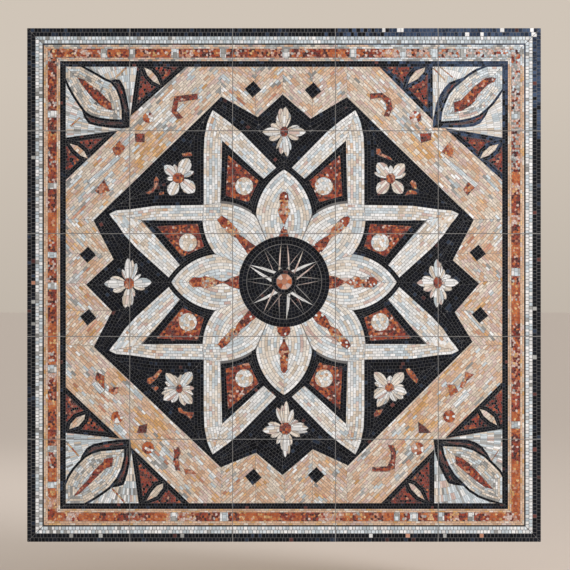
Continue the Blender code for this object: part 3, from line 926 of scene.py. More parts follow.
# The four corners, in drawing steps from the panel's middle. A swoosh is given with its dark red core and
# a triangle with the pale leaf in it, a ray by its ends and width, a pebble by its middle and radius.
corners = (
    {
        "back": ((-217.7, 218.5), (-146.9, 218.5), (-153.8, 168.6), (-154.9, 157.4), (-165.3, 154.8),
            (-217.7, 147.3)),
        "leaf": ((-217.7, 218.7), (-203.2, 217.7), (-195.1, 213.7), (-185.9, 208.5), (-179.1, 204.4),
            (-173.3, 202.1), (-168.1, 195.5), (-164.4, 185.8), (-162.4, 175.5), (-162.4, 165.4),
            (-174.5, 166), (-184.8, 167.4), (-192.8, 169.7), (-198, 173.2), (-203.2, 180.1),
            (-208.9, 188.7), (-214.1, 197.8), (-217.5, 206.5)),
        "redLeaf": ((-206.6, 207.6), (-199.7, 205.3), (-192.8, 199.6), (-184.8, 193.8), (-177.9, 186.9),
            (-173.3, 182.3), (-171.6, 174.3), (-178.5, 176.6), (-184.8, 180.6), (-190.5, 185.8),
            (-196.3, 192.7), (-202, 200.1)),
        "hook": ((-86.6, 191.5), (-86.1, 185.8), (-105.6, 182.9), (-107.3, 174.3), (-101, 167.4),
            (-106.2, 165.4), (-112.7, 173.2), (-109.6, 188.7)),
        "diamond": ((-164.7, 144.5), (-158.6, 137), (-167.3, 126.7), (-172.2, 136.4)),
        "square": ((-149.2, 151.4), (-139.4, 151.4), (-139.4, 142.7), (-148.6, 143.1)),
        "swooshes": (
            (((-176.2, 203.9), (-168.7, 205.8), (-164.1, 205.3), (-160.1, 198.4), (-157.5, 189.2),
              (-155.4, 177.8), (-153.6, 168.6), (-154.7, 157.4), (-162.1, 157.4), (-162.1, 175.5),
              (-164.1, 185.8), (-167.8, 195.5), (-173.3, 201.6)),
             ((-168.1, 202.4), (-164.7, 200.5), (-161, 191.5), (-158.6, 183.5), (-156.3, 173.2),
              (-157.8, 172), (-160.1, 179.5), (-162.4, 185.8), (-165.5, 194.4))),
            (((-203.2, 178.3), (-199.7, 167.4), (-195.1, 161.1), (-185.9, 158.8), (-174.5, 157.4),
              (-163, 156.5), (-154.7, 157.4), (-154.9, 164.9), (-162.4, 164.9), (-174.5, 165.7),
              (-184.8, 167.1), (-192.8, 169.4), (-198, 172.8)),
             ((-196.8, 167.4), (-192.8, 163.4), (-183.6, 161.3), (-172.2, 160.3), (-160.7, 160.3),
              (-161.8, 162.3), (-173.3, 163.1), (-183.6, 164.2), (-192.8, 166.8))),
        ),
        "triangles": (
            (((-146.9, 218.5), (-98.1, 218.5), (-153.6, 169.1)),
             ((-140, 217.7), (-133.1, 214.7), (-127.4, 208.2), (-123.5, 199.8), (-130.8, 203.6),
              (-136.6, 209.9))),
            (((-217.7, 147.3), (-166.4, 154.2), (-217.7, 104.9)),
             ((-214.6, 141.6), (-206.6, 139.3), (-199.7, 133.6), (-196, 126.3), (-203.2, 129.3),
              (-210, 135.3))),
        ),
        "rays": ((((-157.8, 217.4), (-168.1, 207.6)), 1.6), (((-213.5, 158.8), (-204.3, 167.4)), 1.6),),
        "pebbles": ((-136, 167.4, 5.3),),
        "bars": ((((-194.9, 102.2), (-165, 128.4)), 4.6),),
        "fans": (((-180, 105.7), (-174.2, 94), (-184.8, 90.7), (-189.2, 94)),),
    },
    {
        "back": ((217.7, 218.5), (148.6, 218.5), (149.1, 166.3), (148.6, 157.4), (161.8, 156.9),
            (217.7, 147.3)),
        "leaf": ((217.7, 218.7), (203.1, 217.4), (192.8, 213.9), (184.7, 208.8), (177.8, 203),
            (170.9, 197.3), (165.2, 190.4), (161.2, 181.2), (158.3, 173.2), (157.2, 163.6), (175.5, 164.8),
            (187, 167.2), (195.1, 170.3), (201.9, 176), (207.7, 181.8), (212.8, 188.7), (217.4, 196.1)),
        "redLeaf": ((212.3, 206.7), (210, 203), (204.2, 200.7), (199.6, 196.1), (193.9, 190.4),
            (191.6, 184.6), (185.9, 178.9), (177.8, 174.3), (170.4, 172.9), (169.8, 182.9), (176.7, 184.6),
            (183.6, 191.5), (189.3, 197.3), (196.2, 203), (201.9, 207), (207.7, 207.8)),
        "hook": ((86, 191.5), (98.1, 192.1), (106.7, 185.8), (108.4, 176.6), (104.9, 168.3), (99.8, 169.1),
            (102.6, 176.6), (101.5, 182.9), (96.9, 187.5), (86, 185.8)),
        "diamond": ((165.2, 142.4), (171.2, 135.9), (168.2, 126.9), (157.4, 133)),
        "square": ((135.9, 151.4), (147.6, 151.9), (146.8, 145), (137.1, 141.9)),
        "swooshes": (
            (((181.3, 208.2), (170.9, 204.7), (165.2, 202.4), (160.6, 197.3), (156, 190.4), (152.6, 182.3),
              (149.4, 166.3), (148.6, 157.4), (156, 157.4), (157.2, 163.4), (158.3, 173.2), (161.2, 181.2),
              (165.2, 190.4), (170.9, 197.3), (177.8, 202.4)),
             ((175, 203.6), (168.7, 200.7), (164.1, 196.1), (160, 188.1), (161.8, 189.2), (166.4, 195),
              (170.9, 199))),
            (((209.4, 184.1), (206.5, 179.5), (201.9, 169.5), (196.2, 161.5), (189.3, 158.6),
              (177.8, 157.4), (156, 157.4), (157.2, 163.2), (175.5, 164.3), (187, 166.7), (195.1, 169.7),
              (201.9, 175.5)),
             ((201.9, 173.2), (196.8, 165.7), (189.3, 162), (177.8, 160.5), (166.4, 160), (166.4, 161.3),
              (177.8, 162.5), (188.2, 164.9), (195.1, 167.7))),
        ),
        "triangles": (
            (((148.6, 218.5), (148.6, 164.9), (95.4, 218.5)), ((141.3, 217.7), (140.2, 213.3),
              (134.2, 206.2), (123.7, 200.9), (126.2, 207.6), (131.9, 214.5))),
            (((161.2, 156.7), (217.7, 147.3), (217.7, 104.9)),
             ((214.8, 141.2), (211.7, 135.3), (205.4, 129.8), (196, 126.3), (199.1, 133), (205.4, 138.7))),
        ),
        "rays": ((((149.4, 216.8), (160.6, 205.3)), 1.3), (((156, 217.9), (168.7, 207.6)), 1),),
        "pebbles": ((131.3, 168, 6),),
        "bars": ((((159.5, 126.7), (192.8, 99.1)), 4.8),),
        "fans": (((185, 104.5), (190.7, 97.4), (183.6, 89.6), (179.2, 95.1)),),
    },
    {
        "back": ((-217.7, -218.5), (-217.7, -147.9), (-165.3, -154.5), (-153.8, -154.2), (-152.6, -164.2),
            (-145.5, -218.5)),
        "leaf": ((-217.7, -218.5), (-199.7, -218.2), (-189.4, -212.2), (-181.3, -206.7), (-174.5, -201.5),
            (-167.6, -192.9), (-163, -183.7), (-160.1, -172.2), (-159.8, -164.2), (-172.2, -165.4),
            (-183.6, -166.3), (-191.7, -168.8), (-198.6, -172.8), (-204.9, -179.1), (-210, -184.9),
            (-214.6, -191.8), (-217.2, -199.8)),
        "redLeaf": ((-210.6, -211.8), (-204.3, -203.2), (-196.3, -195.2), (-190.5, -186), (-180.8, -176.8),
            (-179.6, -173.4), (-170.8, -172.6), (-172.2, -181.4), (-179.1, -183.7), (-185.9, -190.6),
            (-195.1, -199.8), (-204.3, -208.4)),
        "hook": ((-110.7, -163.1), (-105, -162.1), (-103.3, -167.7), (-105.6, -173.4), (-103.5, -186),
            (-107.9, -185.8), (-111.1, -176.8), (-109.6, -169.9)),
        "diamond": ((-100.4, -183.7), (-91.8, -184.9), (-87.2, -188.9), (-98.7, -188.9)),
        "square": ((-147.1, -148.1), (-144.8, -140.7), (-136.6, -138.7), (-137.5, -147.9)),
        "swooshes": (
            (((-205.5, -178.6), (-202, -169.9), (-197.4, -163.1), (-190.5, -159), (-176.8, -156.2),
              (-166.4, -154.8), (-154, -154.2), (-154, -161.3), (-159.8, -163.8), (-172.2, -165),
              (-183.6, -165.9), (-191.7, -168.5), (-198.6, -172.5)),
             ((-196.3, -165.6), (-190.5, -162.1), (-176.8, -159.4), (-160.7, -157.1), (-160.1, -159.4),
              (-174.5, -161.7), (-187.1, -164), (-195.1, -167.9))),
            (((-176.2, -203.2), (-166.4, -201.7), (-160.3, -199.8), (-156.4, -188.3), (-154.1, -176.8),
              (-152.9, -165.4), (-154, -154.2), (-159.8, -164.2), (-160.1, -172.2), (-162.8, -183.7),
              (-167.3, -192.9)),
             ((-166.4, -198.1), (-162.4, -196.1), (-159, -186), (-156.4, -175.7), (-156.7, -167.7),
              (-158.4, -169.9), (-160.1, -180.3), (-163, -189.5))),
        ),
        "triangles": (
            (((-217.7, -102.2), (-164.1, -153.5), (-217.7, -147.6)),
             ((-198.9, -129.5), (-199.7, -134.4), (-205.5, -141.2), (-214.9, -144.3), (-213.5, -139),
              (-207.8, -132.6))),
            (((-153.2, -162.1), (-94.7, -218.5), (-145.2, -218.5)),
             ((-120.8, -198.4), (-121.1, -203.2), (-127.4, -211.3), (-138, -216.1), (-133.1, -207.8),
              (-127.4, -200.9))),
        ),
        "rays": ((((-172.2, -203.2), (-159.3, -217.6)), 1.6), (((-216.4, -158.5), (-205.2, -171.1)), 1.6),),
        "pebbles": ((-136, -162.8, 6.2), (-167, -132.3, 6),),
        "bars": ((((-190.5, -97.6), (-182.3, -107.7)), 4.8),),
        "fans": (((-187.3, -87.1), (-179.6, -90.7), (-179.6, -104.5), (-183.1, -101.1), (-184.8, -97.6),
            (-188.8, -94.2)), ((-175, -102.2), (-165.3, -102.2), (-166.4, -108), (-169.9, -110.5),
            (-175.6, -106.8)),),
    },
    {
        "back": ((218, -217), (150.3, -217), (150.3, -165.4), (149.5, -154.2), (161.8, -153.9),
            (218, -144.1)),
        "leaf": ((218, -217), (218, -191.8), (215.1, -186.6), (207.7, -179.1), (200.8, -172.5),
            (189.3, -165.6), (177.8, -162.1), (158.9, -161.2), (160.6, -169.9), (165.2, -180.3),
            (170.9, -189.5), (179, -197.5), (185.9, -204.4), (195.1, -210.4), (206.5, -214.7)),
        "redLeaf": ((171.2, -170.9), (177.8, -172.8), (185.9, -179.1), (193.9, -187.2), (200.8, -195.2),
            (209.4, -204.4), (200.8, -202.1), (192.8, -196.4), (185.9, -190.6), (177.8, -184),
            (171.9, -179.1)),
        "hook": ((103.8, -160.2), (109.5, -159.6), (112.2, -167.7), (110.7, -183.7), (103.2, -186.6),
            (87.7, -186.6), (88.3, -182), (103.2, -181.4), (106.7, -174.5), (106.7, -166.5)),
        "diamond": ((162.3, -99.3), (170.9, -99.9), (174.4, -106.8), (166.4, -111.4)),
        "square": ((134, -136.7), (140.5, -141.2), (147.1, -147.9), (134.8, -148.1)),
        "swooshes": (
            (((149.5, -154.2), (166.4, -154.2), (183.6, -154.5), (191.6, -157.3), (198.5, -161.9),
              (204.2, -169.9), (207.7, -176.8), (216.9, -188.3), (214, -185.8), (207.7, -179.4),
              (200.8, -172.8), (189.3, -165.9), (177.8, -162.5), (158.9, -161.2)),
             ((159.5, -156.4), (173.2, -157.1), (187, -159.4), (196.2, -164.2), (202.5, -170.5),
              (199.6, -169.9), (192.8, -164.8), (183.6, -161), (170.9, -159.4))),
            (((149.5, -154.2), (151.2, -167.7), (154.9, -180.3), (160.6, -191.8), (164.1, -198.1),
              (170.9, -200), (181.3, -201.2), (175.5, -195.4), (168.9, -188.5), (164.5, -180.3),
              (160.4, -169.9), (158.9, -161.2)),
             ((153.5, -164.2), (156.4, -174.5), (160.6, -184.9), (166.4, -194.6), (169.6, -196.1),
              (165.2, -187.2), (160, -175.7), (156.6, -165.4))),
        ),
        "triangles": (
            (((218, -97.1), (218, -143.8), (161.2, -153.3)), ((195.4, -123.8), (201.9, -125.8),
              (210, -132.1), (213.2, -140.4), (206.5, -136.9), (199.6, -130.9))),
            (((150.3, -164.2), (150.3, -217), (97.2, -217)), ((124.2, -197.8), (129.6, -199.6),
              (136.5, -206.7), (140.9, -215.1), (134.2, -211.5), (127.3, -204.4))),
        ),
        "rays": ((((207.7, -175.7), (214.6, -165.4)), 0.8),),
        "pebbles": ((133.6, -163.6, 6.4), (165.2, -131.5, 6.2),),
        "bars": ((((170.4, -121.2), (184.2, -107.7)), 5.1),),
        "fans": (((181.3, -86.7), (189.9, -89.6), (183.6, -95.3), (179.6, -97.6)),
            ((177.8, -96.5), (183, -95.9), (179, -103.4), (175.5, -102.2)),),
    },
)
cornerSizes = {
    "borderReach": 2.6,  # points this near the inner black course lie on it, in steps
    "fan": 66,  # how far in from the corner the middle of the back's rows is, in steps
    "fanRows": (330.0, 8.0, 20.0, 6.0),  # outer and inner radius, depth of a row, length of a stone, in mm
    "leafEdge": 2.3,
    "leafOutline": 4.2,
    "triangleEdge": 5.0,
    "pebbleStone": 7.5,  # length of a stone in a pebble, in mm
}


def barShape(a, b, width):
    length = math.dist(a, b)
    dx, dy = (b[0] - a[0]) / length * width / 2, (b[1] - a[1]) / length * width / 2
    return [(a[0] + dy, a[1] - dx), (b[0] + dy, b[1] - dx), (b[0] - dy, b[1] + dx), (a[0] - dy, a[1] + dx)]


def grown(shape, width):  # the outline moved outwards, for simple shapes
    shape = anticlockwise(shape)
    moved = []
    n = len(shape)
    for i in range(n):
        a, b, c = shape[i - 1], shape[i], shape[(i + 1) % n]
        n1, n2 = lineOf(a, b), lineOf(b, c)
        mx, my = -(n1[0] + n2[0]), -(n1[1] + n2[1])
        size = math.hypot(mx, my) or 1e-9
        reach = width / max(0.5, size / 2)
        moved.append((b[0] + mx / size * reach, b[1] + my / size * reach))
    return moved


def layTriangle(outer, leaf, n):  # a red triangle with a black edge, and a cream leaf with one in it
    area("triangle", outer, followOutline, "ground")
    inner = outer = anticlockwise(outer)
    blackLeaf = grown(leaf, cornerSizes["leafOutline"])
    for i, b in enumerate(outer):
        a = outer[i - 1]
        onBorder = min(abs(a[0]), abs(b[0])) > n - 1.5 or min(abs(a[1]), abs(b[1])) > n - 1.5
        inner = keepLeft(inner, lineOf(a, b), 0.0 if onBorder else cornerSizes["triangleEdge"])
        blackLeaf, leaf = (keepLeft(s, lineOf(a, b)) for s in (blackLeaf, leaf))
    area("redTriangle", inner, crushed, "crushedTriangle")
    area("blackLeaf", blackLeaf, followOutline, "ground")
    area("creamLeaf", leaf, straight(45), "creamLeaf")


def layCorners():
    n = innerHalf

    def toBorder(shape):
        near = n - cornerSizes["borderReach"]
        return [tuple(math.copysign(n, v) if abs(v) > near else v for v in p) for p in shape]

    for place in corners:
        x, y = place["leaf"][0]
        sx, sy = math.copysign(1, x), math.copysign(1, y)
        lean = 45 if sx * sy > 0 else -45
        fan = n - cornerSizes["fan"]
        tint = "Pale" if x > 0 and y > 0 else ""  # the stones of the top right corner are the palest
        lay = lambda a, c=(sx * fan * unit, sy * fan * unit): rings(c, *cornerSizes["fanRows"])
        area("cornerBack", toBorder(place["back"]), lay, "cornerBack" + tint, 0.3, joint="crushed")
        for (a, b), width in place["rays"]:
            area("ray", barShape(a, b, width), straight(lean), "ray")
        for outer, core in place["swooshes"]:
            area("swoosh", outer, followOutline, "ground")
            area("swooshCore", core, followOutline, "darkCore")
        area("leafEdge", grown(place["leaf"], cornerSizes["leafEdge"]), followOutline, "ground")
        area("leaf", toBorder(place["leaf"]), followOutline, "leaf" + tint, 0.75)
        area("redLeaf", place["redLeaf"], crushed, "crushedRed", joint="crushed")
        for outer, leaf in place["triangles"]:
            layTriangle(toBorder(outer), leaf, n)
        area("hook", place["hook"], crushed, "crushedRed")
        area("square", place["square"], crushed, "darkRed")
        area("pebble", place["diamond"], crushed, "crushedOrange")
        for shape in place["fans"]:
            area("fan", shape, crushed, "crushedOrange")
        for (a, b), width in place["bars"]:
            area("paleBar", barShape(a, b, width), straight(-lean), "paleBar")
        for x, y, r in place["pebbles"]:
            sizes = (x * unit, y * unit), r * unit, 0.0, r * unit / 2.5, cornerSizes["pebbleStone"]
            area("pebble", ringOf(r, 12, (x, y)), lambda a, sizes=sizes: rings(*sizes), "rosette")


# Small black diamonds in the field, beside the dark ground's points, in drawing steps from the star's middle.
diamonds = {
    "halfSize": 8.2,
    "middles": (
        (-31.0, 193.0), (29.0, 191.7), (-196.3, 27.4), (-195.8, -35.0),
        (193.7, 29.3), (196.0, -32.8), (-30.7, -194.7), (32.1, -193.0),
    ),
}


def layDiamonds():
    h = diamonds["halfSize"]
    for middle in diamonds["middles"]:
        shape = turned([(-h, 0), (0, -h), (h, 0), (0, h)], stray(handwork["diamond"]), middle)
        area("diamond", fromStar(shape), straight(45), "ground")


layPlugs()
layField()
layStar()
layPetals()
layCompass()
layFlowers()
layCorners()
layDiamonds()
report(f"picture drawn: {len(areas)} areas")


# Where the stones change over the panel, in millimetres from its middle.
drift = {
    "topSide": 640,  # the top side's border courses lie above this
    "leftEdge": -650,  # and the left side's outer courses further left than this
    "crushed": (  # the crushed course's colours at the top right: from where on, and in what share
        {"mix": "paleLilacBlock", "right": 480, "top": 560, "share": 0.8},
        {"mix": "lilacBlock", "right": 330, "top": 330, "share": 0.65},
    ),
    "redTop": {"left": 300, "share": 0.35},
    "blocks": (20, 62),  # length of a block of one colour in the crushed course
    "coolPeach": {"from": 130, "over": 160},  # along the top, the peach courses turn cool
    "blue": {"from": 760, "over": 170},  # towards the top right the dark stones are slate blue, in the corners' dark courses too: painted reflection, a bluish sheen laid in as blue stones
    "cornerBlue": {"from": 740, "over": 380, "most": 0.7},
    "navy": {"top": 0.2, "elsewhere": 0.05},  # shares of navy slate among the other black stones; the larger share along the top is painted reflection, a bluish sheen
    "noOdd": {"outermost": 742, "until": 250, "topUntil": 150},  # outer black stones without odd ones
    "whiteOdd": {"right": 270, "top": 700, "share": 0.1},  # where the odd ones are many and all white
    "blueWhite": {"sides": 0.35, "top": 0.9, "bottom": 0.6},  # shares of blue stones in the white courses: partly their own tint, partly painted reflection, a bluish sheen that is strongest at the top
    "paintedShadeGrey": 0.12,  # and of grey ones, at the left edge: painted shade, the course darker there as if the light fell off
    "fieldEdge": 6.5,  # width of the paler stones along the dark ground
    "tips": 0.7,  # share of browner stones in the star's tips
    "pendant": 0.85,  # and of a part's own stones in each part of a pendant
}
# Odd stones in the outer black course, each with the share that it and those before it have.
oddStones = {"whiteMarble": 0.006, "porphyry": 0.035, "salmonMarble": 0.045, "greyMarble": 0.06}
# Soft patches in the peach field: greyer towards the top left, warmer towards the bottom.
patches = {
    "coolWidth": 34,
    "warmWidth": 52,
    "topLeft": {"from": 500, "over": 1700},
    "top": {"from": 520, "more": 0.08},
    "topRight": {"from": 300, "over": 2600},  # less warm
    "coolAbove": 0.24,
    "peachAbove": -0.02,
    "pinkBelow": -0.28,
    "mixedTopLeft": 640,  # from here on only this share of the warm stones is peach
    "peachThere": 0.5,
}
# Clouds of other stones in the peach field: middle and reach in drawing steps, the same in every corner.
clouds = (
    {"middle": (135, 137), "reach": 17, "mix": "fieldOchre"},
    {"middle": (128, 169), "reach": 17, "mix": "fieldGrey"},
    {"middle": (178, 101), "reach": 9, "mix": "fieldGrey"},
)


def borderBlocks():
    # The crushed course changes colour block by block along each side.
    sides = []
    for _ in range(4):
        ends, at = [], -panel["side"] / 2
        while at < panel["side"] / 2:
            at += rng.uniform(*drift["blocks"])
            name = rng.choices(("orangeBlock", "crushedRed", "crushedMixed", "paleBlock"), (38, 30, 24, 8))[0]
            ends.append((at, name))
        sides.append(ends)
    return sides


blocks = borderBlocks()


def borderMix(x, y):
    for part in drift["crushed"]:
        if x > part["right"] and y > part["top"]:
            return part["mix"] if chance(part["share"]) else "crushedMixed"
    if y > drift["topSide"] and x < drift["redTop"]["left"] and chance(drift["redTop"]["share"]):
        return "crushedRed"
    level = abs(y) > abs(x)
    side = (0 if y > 0 else 2) if level else (1 if x < 0 else 3)
    along = x if level else y
    return next((name for end, name in blocks[side] if along < end), "crushedRed")


def growing(distance, part):  # from nothing where the part starts
    return max(0.0, distance - part["from"]) / part["over"]


def fieldMix(x, y):
    cool = noise.noise((x / patches["coolWidth"], y / patches["coolWidth"], 0.0))
    cool += growing(y - x, patches["topLeft"])
    cool += patches["top"]["more"] if y > patches["top"]["from"] else 0.0
    warm = noise.noise((x / patches["warmWidth"], y / patches["warmWidth"], 5.0))
    warm -= growing(y + x, patches["topRight"])
    if cool > patches["coolAbove"]:
        mix = "fieldCool"
    elif warm > patches["peachAbove"]:
        pure = y - x < patches["mixedTopLeft"]
        mix = "fieldPeach" if pure or chance(patches["peachThere"]) else "fieldCream"
    else:
        mix = "fieldPink" if warm < patches["pinkBelow"] else "fieldCream"
    for cloud in clouds:
        away = math.dist((abs(x) / unit, abs(y) / unit), cloud["middle"]) / cloud["reach"]
        if chance(1.15 - 0.85 * away):  # always in the cloud's middle, seldom at its edge
            mix = cloud["mix"]
    return mix


def mixAt(area, x, y):
    mix = area["mix"]
    if mix == "border":
        mix = borderMix(x, y)
    elif mix == "field":
        mix = fieldMix(x, y)
    elif mix == "peachCourse" and y > drift["topSide"]:
        cool = drift["coolPeach"]
        mix = "coolCourse" if chance((x - cool["from"]) / cool["over"]) else "peachCoursePale"
    return mixes[mix]


zigzagLine = np.array(toMillimetres(fromStar([p for side in zigzag.values() for p in side])))
zigzagAlong = np.roll(zigzagLine, -1, 0) - zigzagLine


def fromGround(x, y):  # how far a point is from the dark ground's zigzag edge
    to = np.array((x, y)) - zigzagLine
    t = np.clip((to * zigzagAlong).sum(1) / (zigzagAlong ** 2).sum(1), 0, 1)
    return np.sqrt(((to - zigzagAlong * t[:, None]) ** 2).sum(1).min())


def fromMiddle(x, y):  # in drawing steps, from the star's middle
    cx, cy = panel["starCentre"]
    return math.hypot((x - cx) / unit, (y - cy) / unit)


def oddStone(x, y):  # now and then a stone of another kind stands in the outer black course
    at = rng.random()
    none, white = drift["noOdd"], drift["whiteOdd"]
    outermost = max(abs(x), abs(y)) > none["outermost"] and not (x > none["until"] and y > 0)
    if outermost or y > drift["topSide"] and x < none["topUntil"]:
        return None
    if x > white["right"] and y > white["top"]:
        return "whiteMarble" if at < white["share"] else None
    return next((name for name, share in oddStones.items() if at < share), None)


def darkStone(area, x, y):  # some of the black stones are slate, laid in as painted reflection: a bluish sheen on the black
    blue = min(1.0, max(0.0, (0.5 * x + y - drift["blue"]["from"]) / drift["blue"]["over"]))
    corner = 0.0
    if area["name"] in ("swoosh", "leafEdge", "triangle", "blackLeaf"):
        part = drift["cornerBlue"]
        corner = min(part["most"], (x + y - part["from"]) / part["over"])
    if chance(max(blue, corner)):
        return "blueSheenSlate"
    return "navySheenSlate" if chance(drift["navy"]["top" if y > drift["topSide"] else "elsewhere"]) else None


def whiteStone(x, y):  # many white stones have a blue cast, most of all at the top: partly their own tint, partly painted reflection
    side = "sides" if abs(y) <= abs(x) else "top" if y > 0 else "bottom"
    blue = drift["blueWhite"][side]
    # Painted shade: grey stones darken the white course at the left edge.
    if x < drift["leftEdge"] and chance(drift["paintedShadeGrey"]):
        return "greyMarble"
    return "paleBlueMarble" if chance(blue) else "whiteMarble"


# How far out each part of a pendant reaches, in drawing steps from the star's middle.
pendantParts = {"pendantFoot": 58, "pendant": 68, "pendantMiddle": 83}


def kindAt(area, x, y, row, rowKind):
    name = area["name"]
    if name == "petal" and row == 0 or name == "band" and row[1] in (0, 5):
        return pick(mixes["paleEdge"])
    if area["mix"] == "field" and fromGround(x, y) < drift["fieldEdge"]:
        return pick(mixes["fieldEdge"])
    if name == "band" and fromMiddle(x, y) > star["tipsFrom"] and chance(drift["tips"]):
        return pick(mixes["starTip"])
    if name == "pendant":
        away = fromMiddle(x, y)
        part = next((part for part, end in pendantParts.items() if away <= end), "pendantEnd")
        return pick(mixes[part if chance(drift["pendant"]) else "pendant"])
    kind = rowKind if rowKind is not None and chance(area["streak"]) else pick(mixAt(area, x, y))
    other = None
    if kinds[kind] == "blackMarble":
        if name == "outerBlack":
            other = oddStone(x, y)
        if name != "disc" and not other:
            other = darkStone(area, x, y)
    elif kinds[kind] == "whiteMarble" and name == "white":
        other = whiteStone(x, y)
    return kindOf[other] if other else kind


sheetSide = (panel["side"] + panel["sheetGap"]) / panel["sheetsASide"] - panel["sheetGap"]
sheetStep = sheetSide + panel["sheetGap"]
sheetLines = [
    k * sheetStep - panel["side"] / 2 - panel["sheetGap"] / 2 for k in range(1, panel["sheetsASide"])
]
cutting = {
    "keepBack": panel["sheetJoint"] / 2,
    "cell": 24.0,  # the outlines are looked up by cells of this size
    "patch": 90,  # within a patch of this size the stones of a row tend to one kind
    "leastPart": 6,  # in square millimetres, before the joints are taken off
    "leastStone": 2.2,  # and after
}


def cutAtSheets(shape):
    back = cutting["keepBack"]
    x0, y0, x1, y1 = boxOf(shape)
    parts = [shape]
    for low, high, nx, ny in ((x0, x1, 1.0, 0.0), (y0, y1, 0.0, 1.0)):
        for at in sheetLines:
            if low - back < at < high + back:
                sides = (nx, ny, at + back), (-nx, -ny, -at + back)
                parts = [q for p in parts for side in sides if (q := keepLeft(p, side))]
    return parts


def cellsOf(box):
    cell = cutting["cell"]
    for i in range(int(box[0] // cell), int(box[2] // cell) + 1):
        for j in range(int(box[1] // cell), int(box[3] // cell) + 1):
            yield i, j


def covered(point, above):  # does a later area lie over the point
    x, y = point
    for other in above:
        x0, y0, x1, y1 = other["box"]
        if x0 < x < x1 and y0 < y < y1 and inside(point, other["shape"]):
            return True
    return False


def partsOf(area, above):
    # The area's laid shapes, each cut by its own outline and those of the areas over it.
    grid = {}
    for shape in [area["shape"]] + [a["shape"] for a in above]:
        for a, b in edgesOf(shape):
            box = boxOf((a, b))
            edge = (a, b, lineOf(a, b), box)
            for place in cellsOf(box):
                grid.setdefault(place, []).append(edge)
    for shape, row in area["lay"](area):
        around = boxOf(shape)
        if apart(around, area["box"]):
            continue
        near = {}
        for place in cellsOf(around):
            for edge in grid.get(place, ()):
                if not apart(around, edge[3]):
                    near[id(edge)] = edge
        parts = [shape]
        for a, b, line, _ in near.values():
            parts = [q for p in parts for q in (splitBy(p, line) if crosses(p, a, b) else [p])]
        for p in parts:
            size, centre = areaAndCentre(p)
            if size >= cutting["leastPart"] and inside(centre, area["shape"]) and not covered(centre, above):
                yield p, centre, row


def setStones():
    # Cuts every laid shape to its area, and gives the stones of each sheet with their kinds.
    count, half = panel["sheetsASide"], panel["side"] / 2
    sheets = {(r, c): [] for r in range(count) for c in range(count)}
    for n, area in enumerate(areas):
        above = [a for a in areas[n + 1 :] if not apart(a["box"], area["box"])]
        joint = panel["joints"].get(area["joint"], panel["joints"]["other"])
        rowKinds = {}
        for part, (x, y), row in partsOf(area, above):
            rowKind = None
            if area["streak"]:
                key = (row, int((x - y) // cutting["patch"]), int((x + y) // cutting["patch"]))
                if key not in rowKinds:
                    rowKinds[key] = pick(mixAt(area, x, y))
                rowKind = rowKinds[key]
            kind = kindAt(area, x, y, row, rowKind)
            for stone in cutAtSheets(part):
                stone = insetBy(stone, joint / 2)
                stone = stone and withoutShortEdges(stone)
                if not stone:
                    continue
                size, middle = areaAndCentre(stone)
                if size >= cutting["leastStone"]:
                    places = ((half - middle[1]) // sheetStep, (middle[0] + half) // sheetStep)
                    place = tuple(min(count - 1, max(0, int(v))) for v in places)
                    sheets[place].append((stone, kind))
    return sheets


sheets = setStones()
report(f"stones cut: {sum(map(len, sheets.values()))}")


def toLinear(hexColour):
    values = [int(hexColour[i : i + 2], 16) / 255 for i in (1, 3, 5)]
    return [v / 12.92 if v <= 0.04045 else ((v + 0.055) / 1.055) ** 2.4 for v in values] + [1.0]


def connect(node, sockets):
    # A socket takes a value, another node's output, or a node, which stands for its first output.
    for key, value in sockets.items():
        if isinstance(value, bpy.types.Node):
            value = value.outputs[0]
        if isinstance(value, bpy.types.NodeSocket):
            node.id_data.links.new(value, node.inputs[key])
        else:
            node.inputs[key].default_value = value


def addNode(tree, kind, sockets=None, stops=(), **settings):
    # sockets are its inputs, stops a colour ramp's places and colours, and settings the node's properties.
    node = tree.nodes.new(kind)
    for key, value in settings.items():
        setattr(node, key, value)
    connect(node, sockets or {})
    for i, (at, colour) in enumerate(stops):
        elements = node.color_ramp.elements
        element = elements[i] if i < len(elements) else elements.new(at)
        element.position, element.color = at, toLinear(colour)
    return node


def newMaterial(name):
    material = bpy.data.materials.new(name)
    material.use_nodes = True
    tree = material.node_tree
    return material, partial(addNode, tree), tree.nodes["Principled BSDF"]


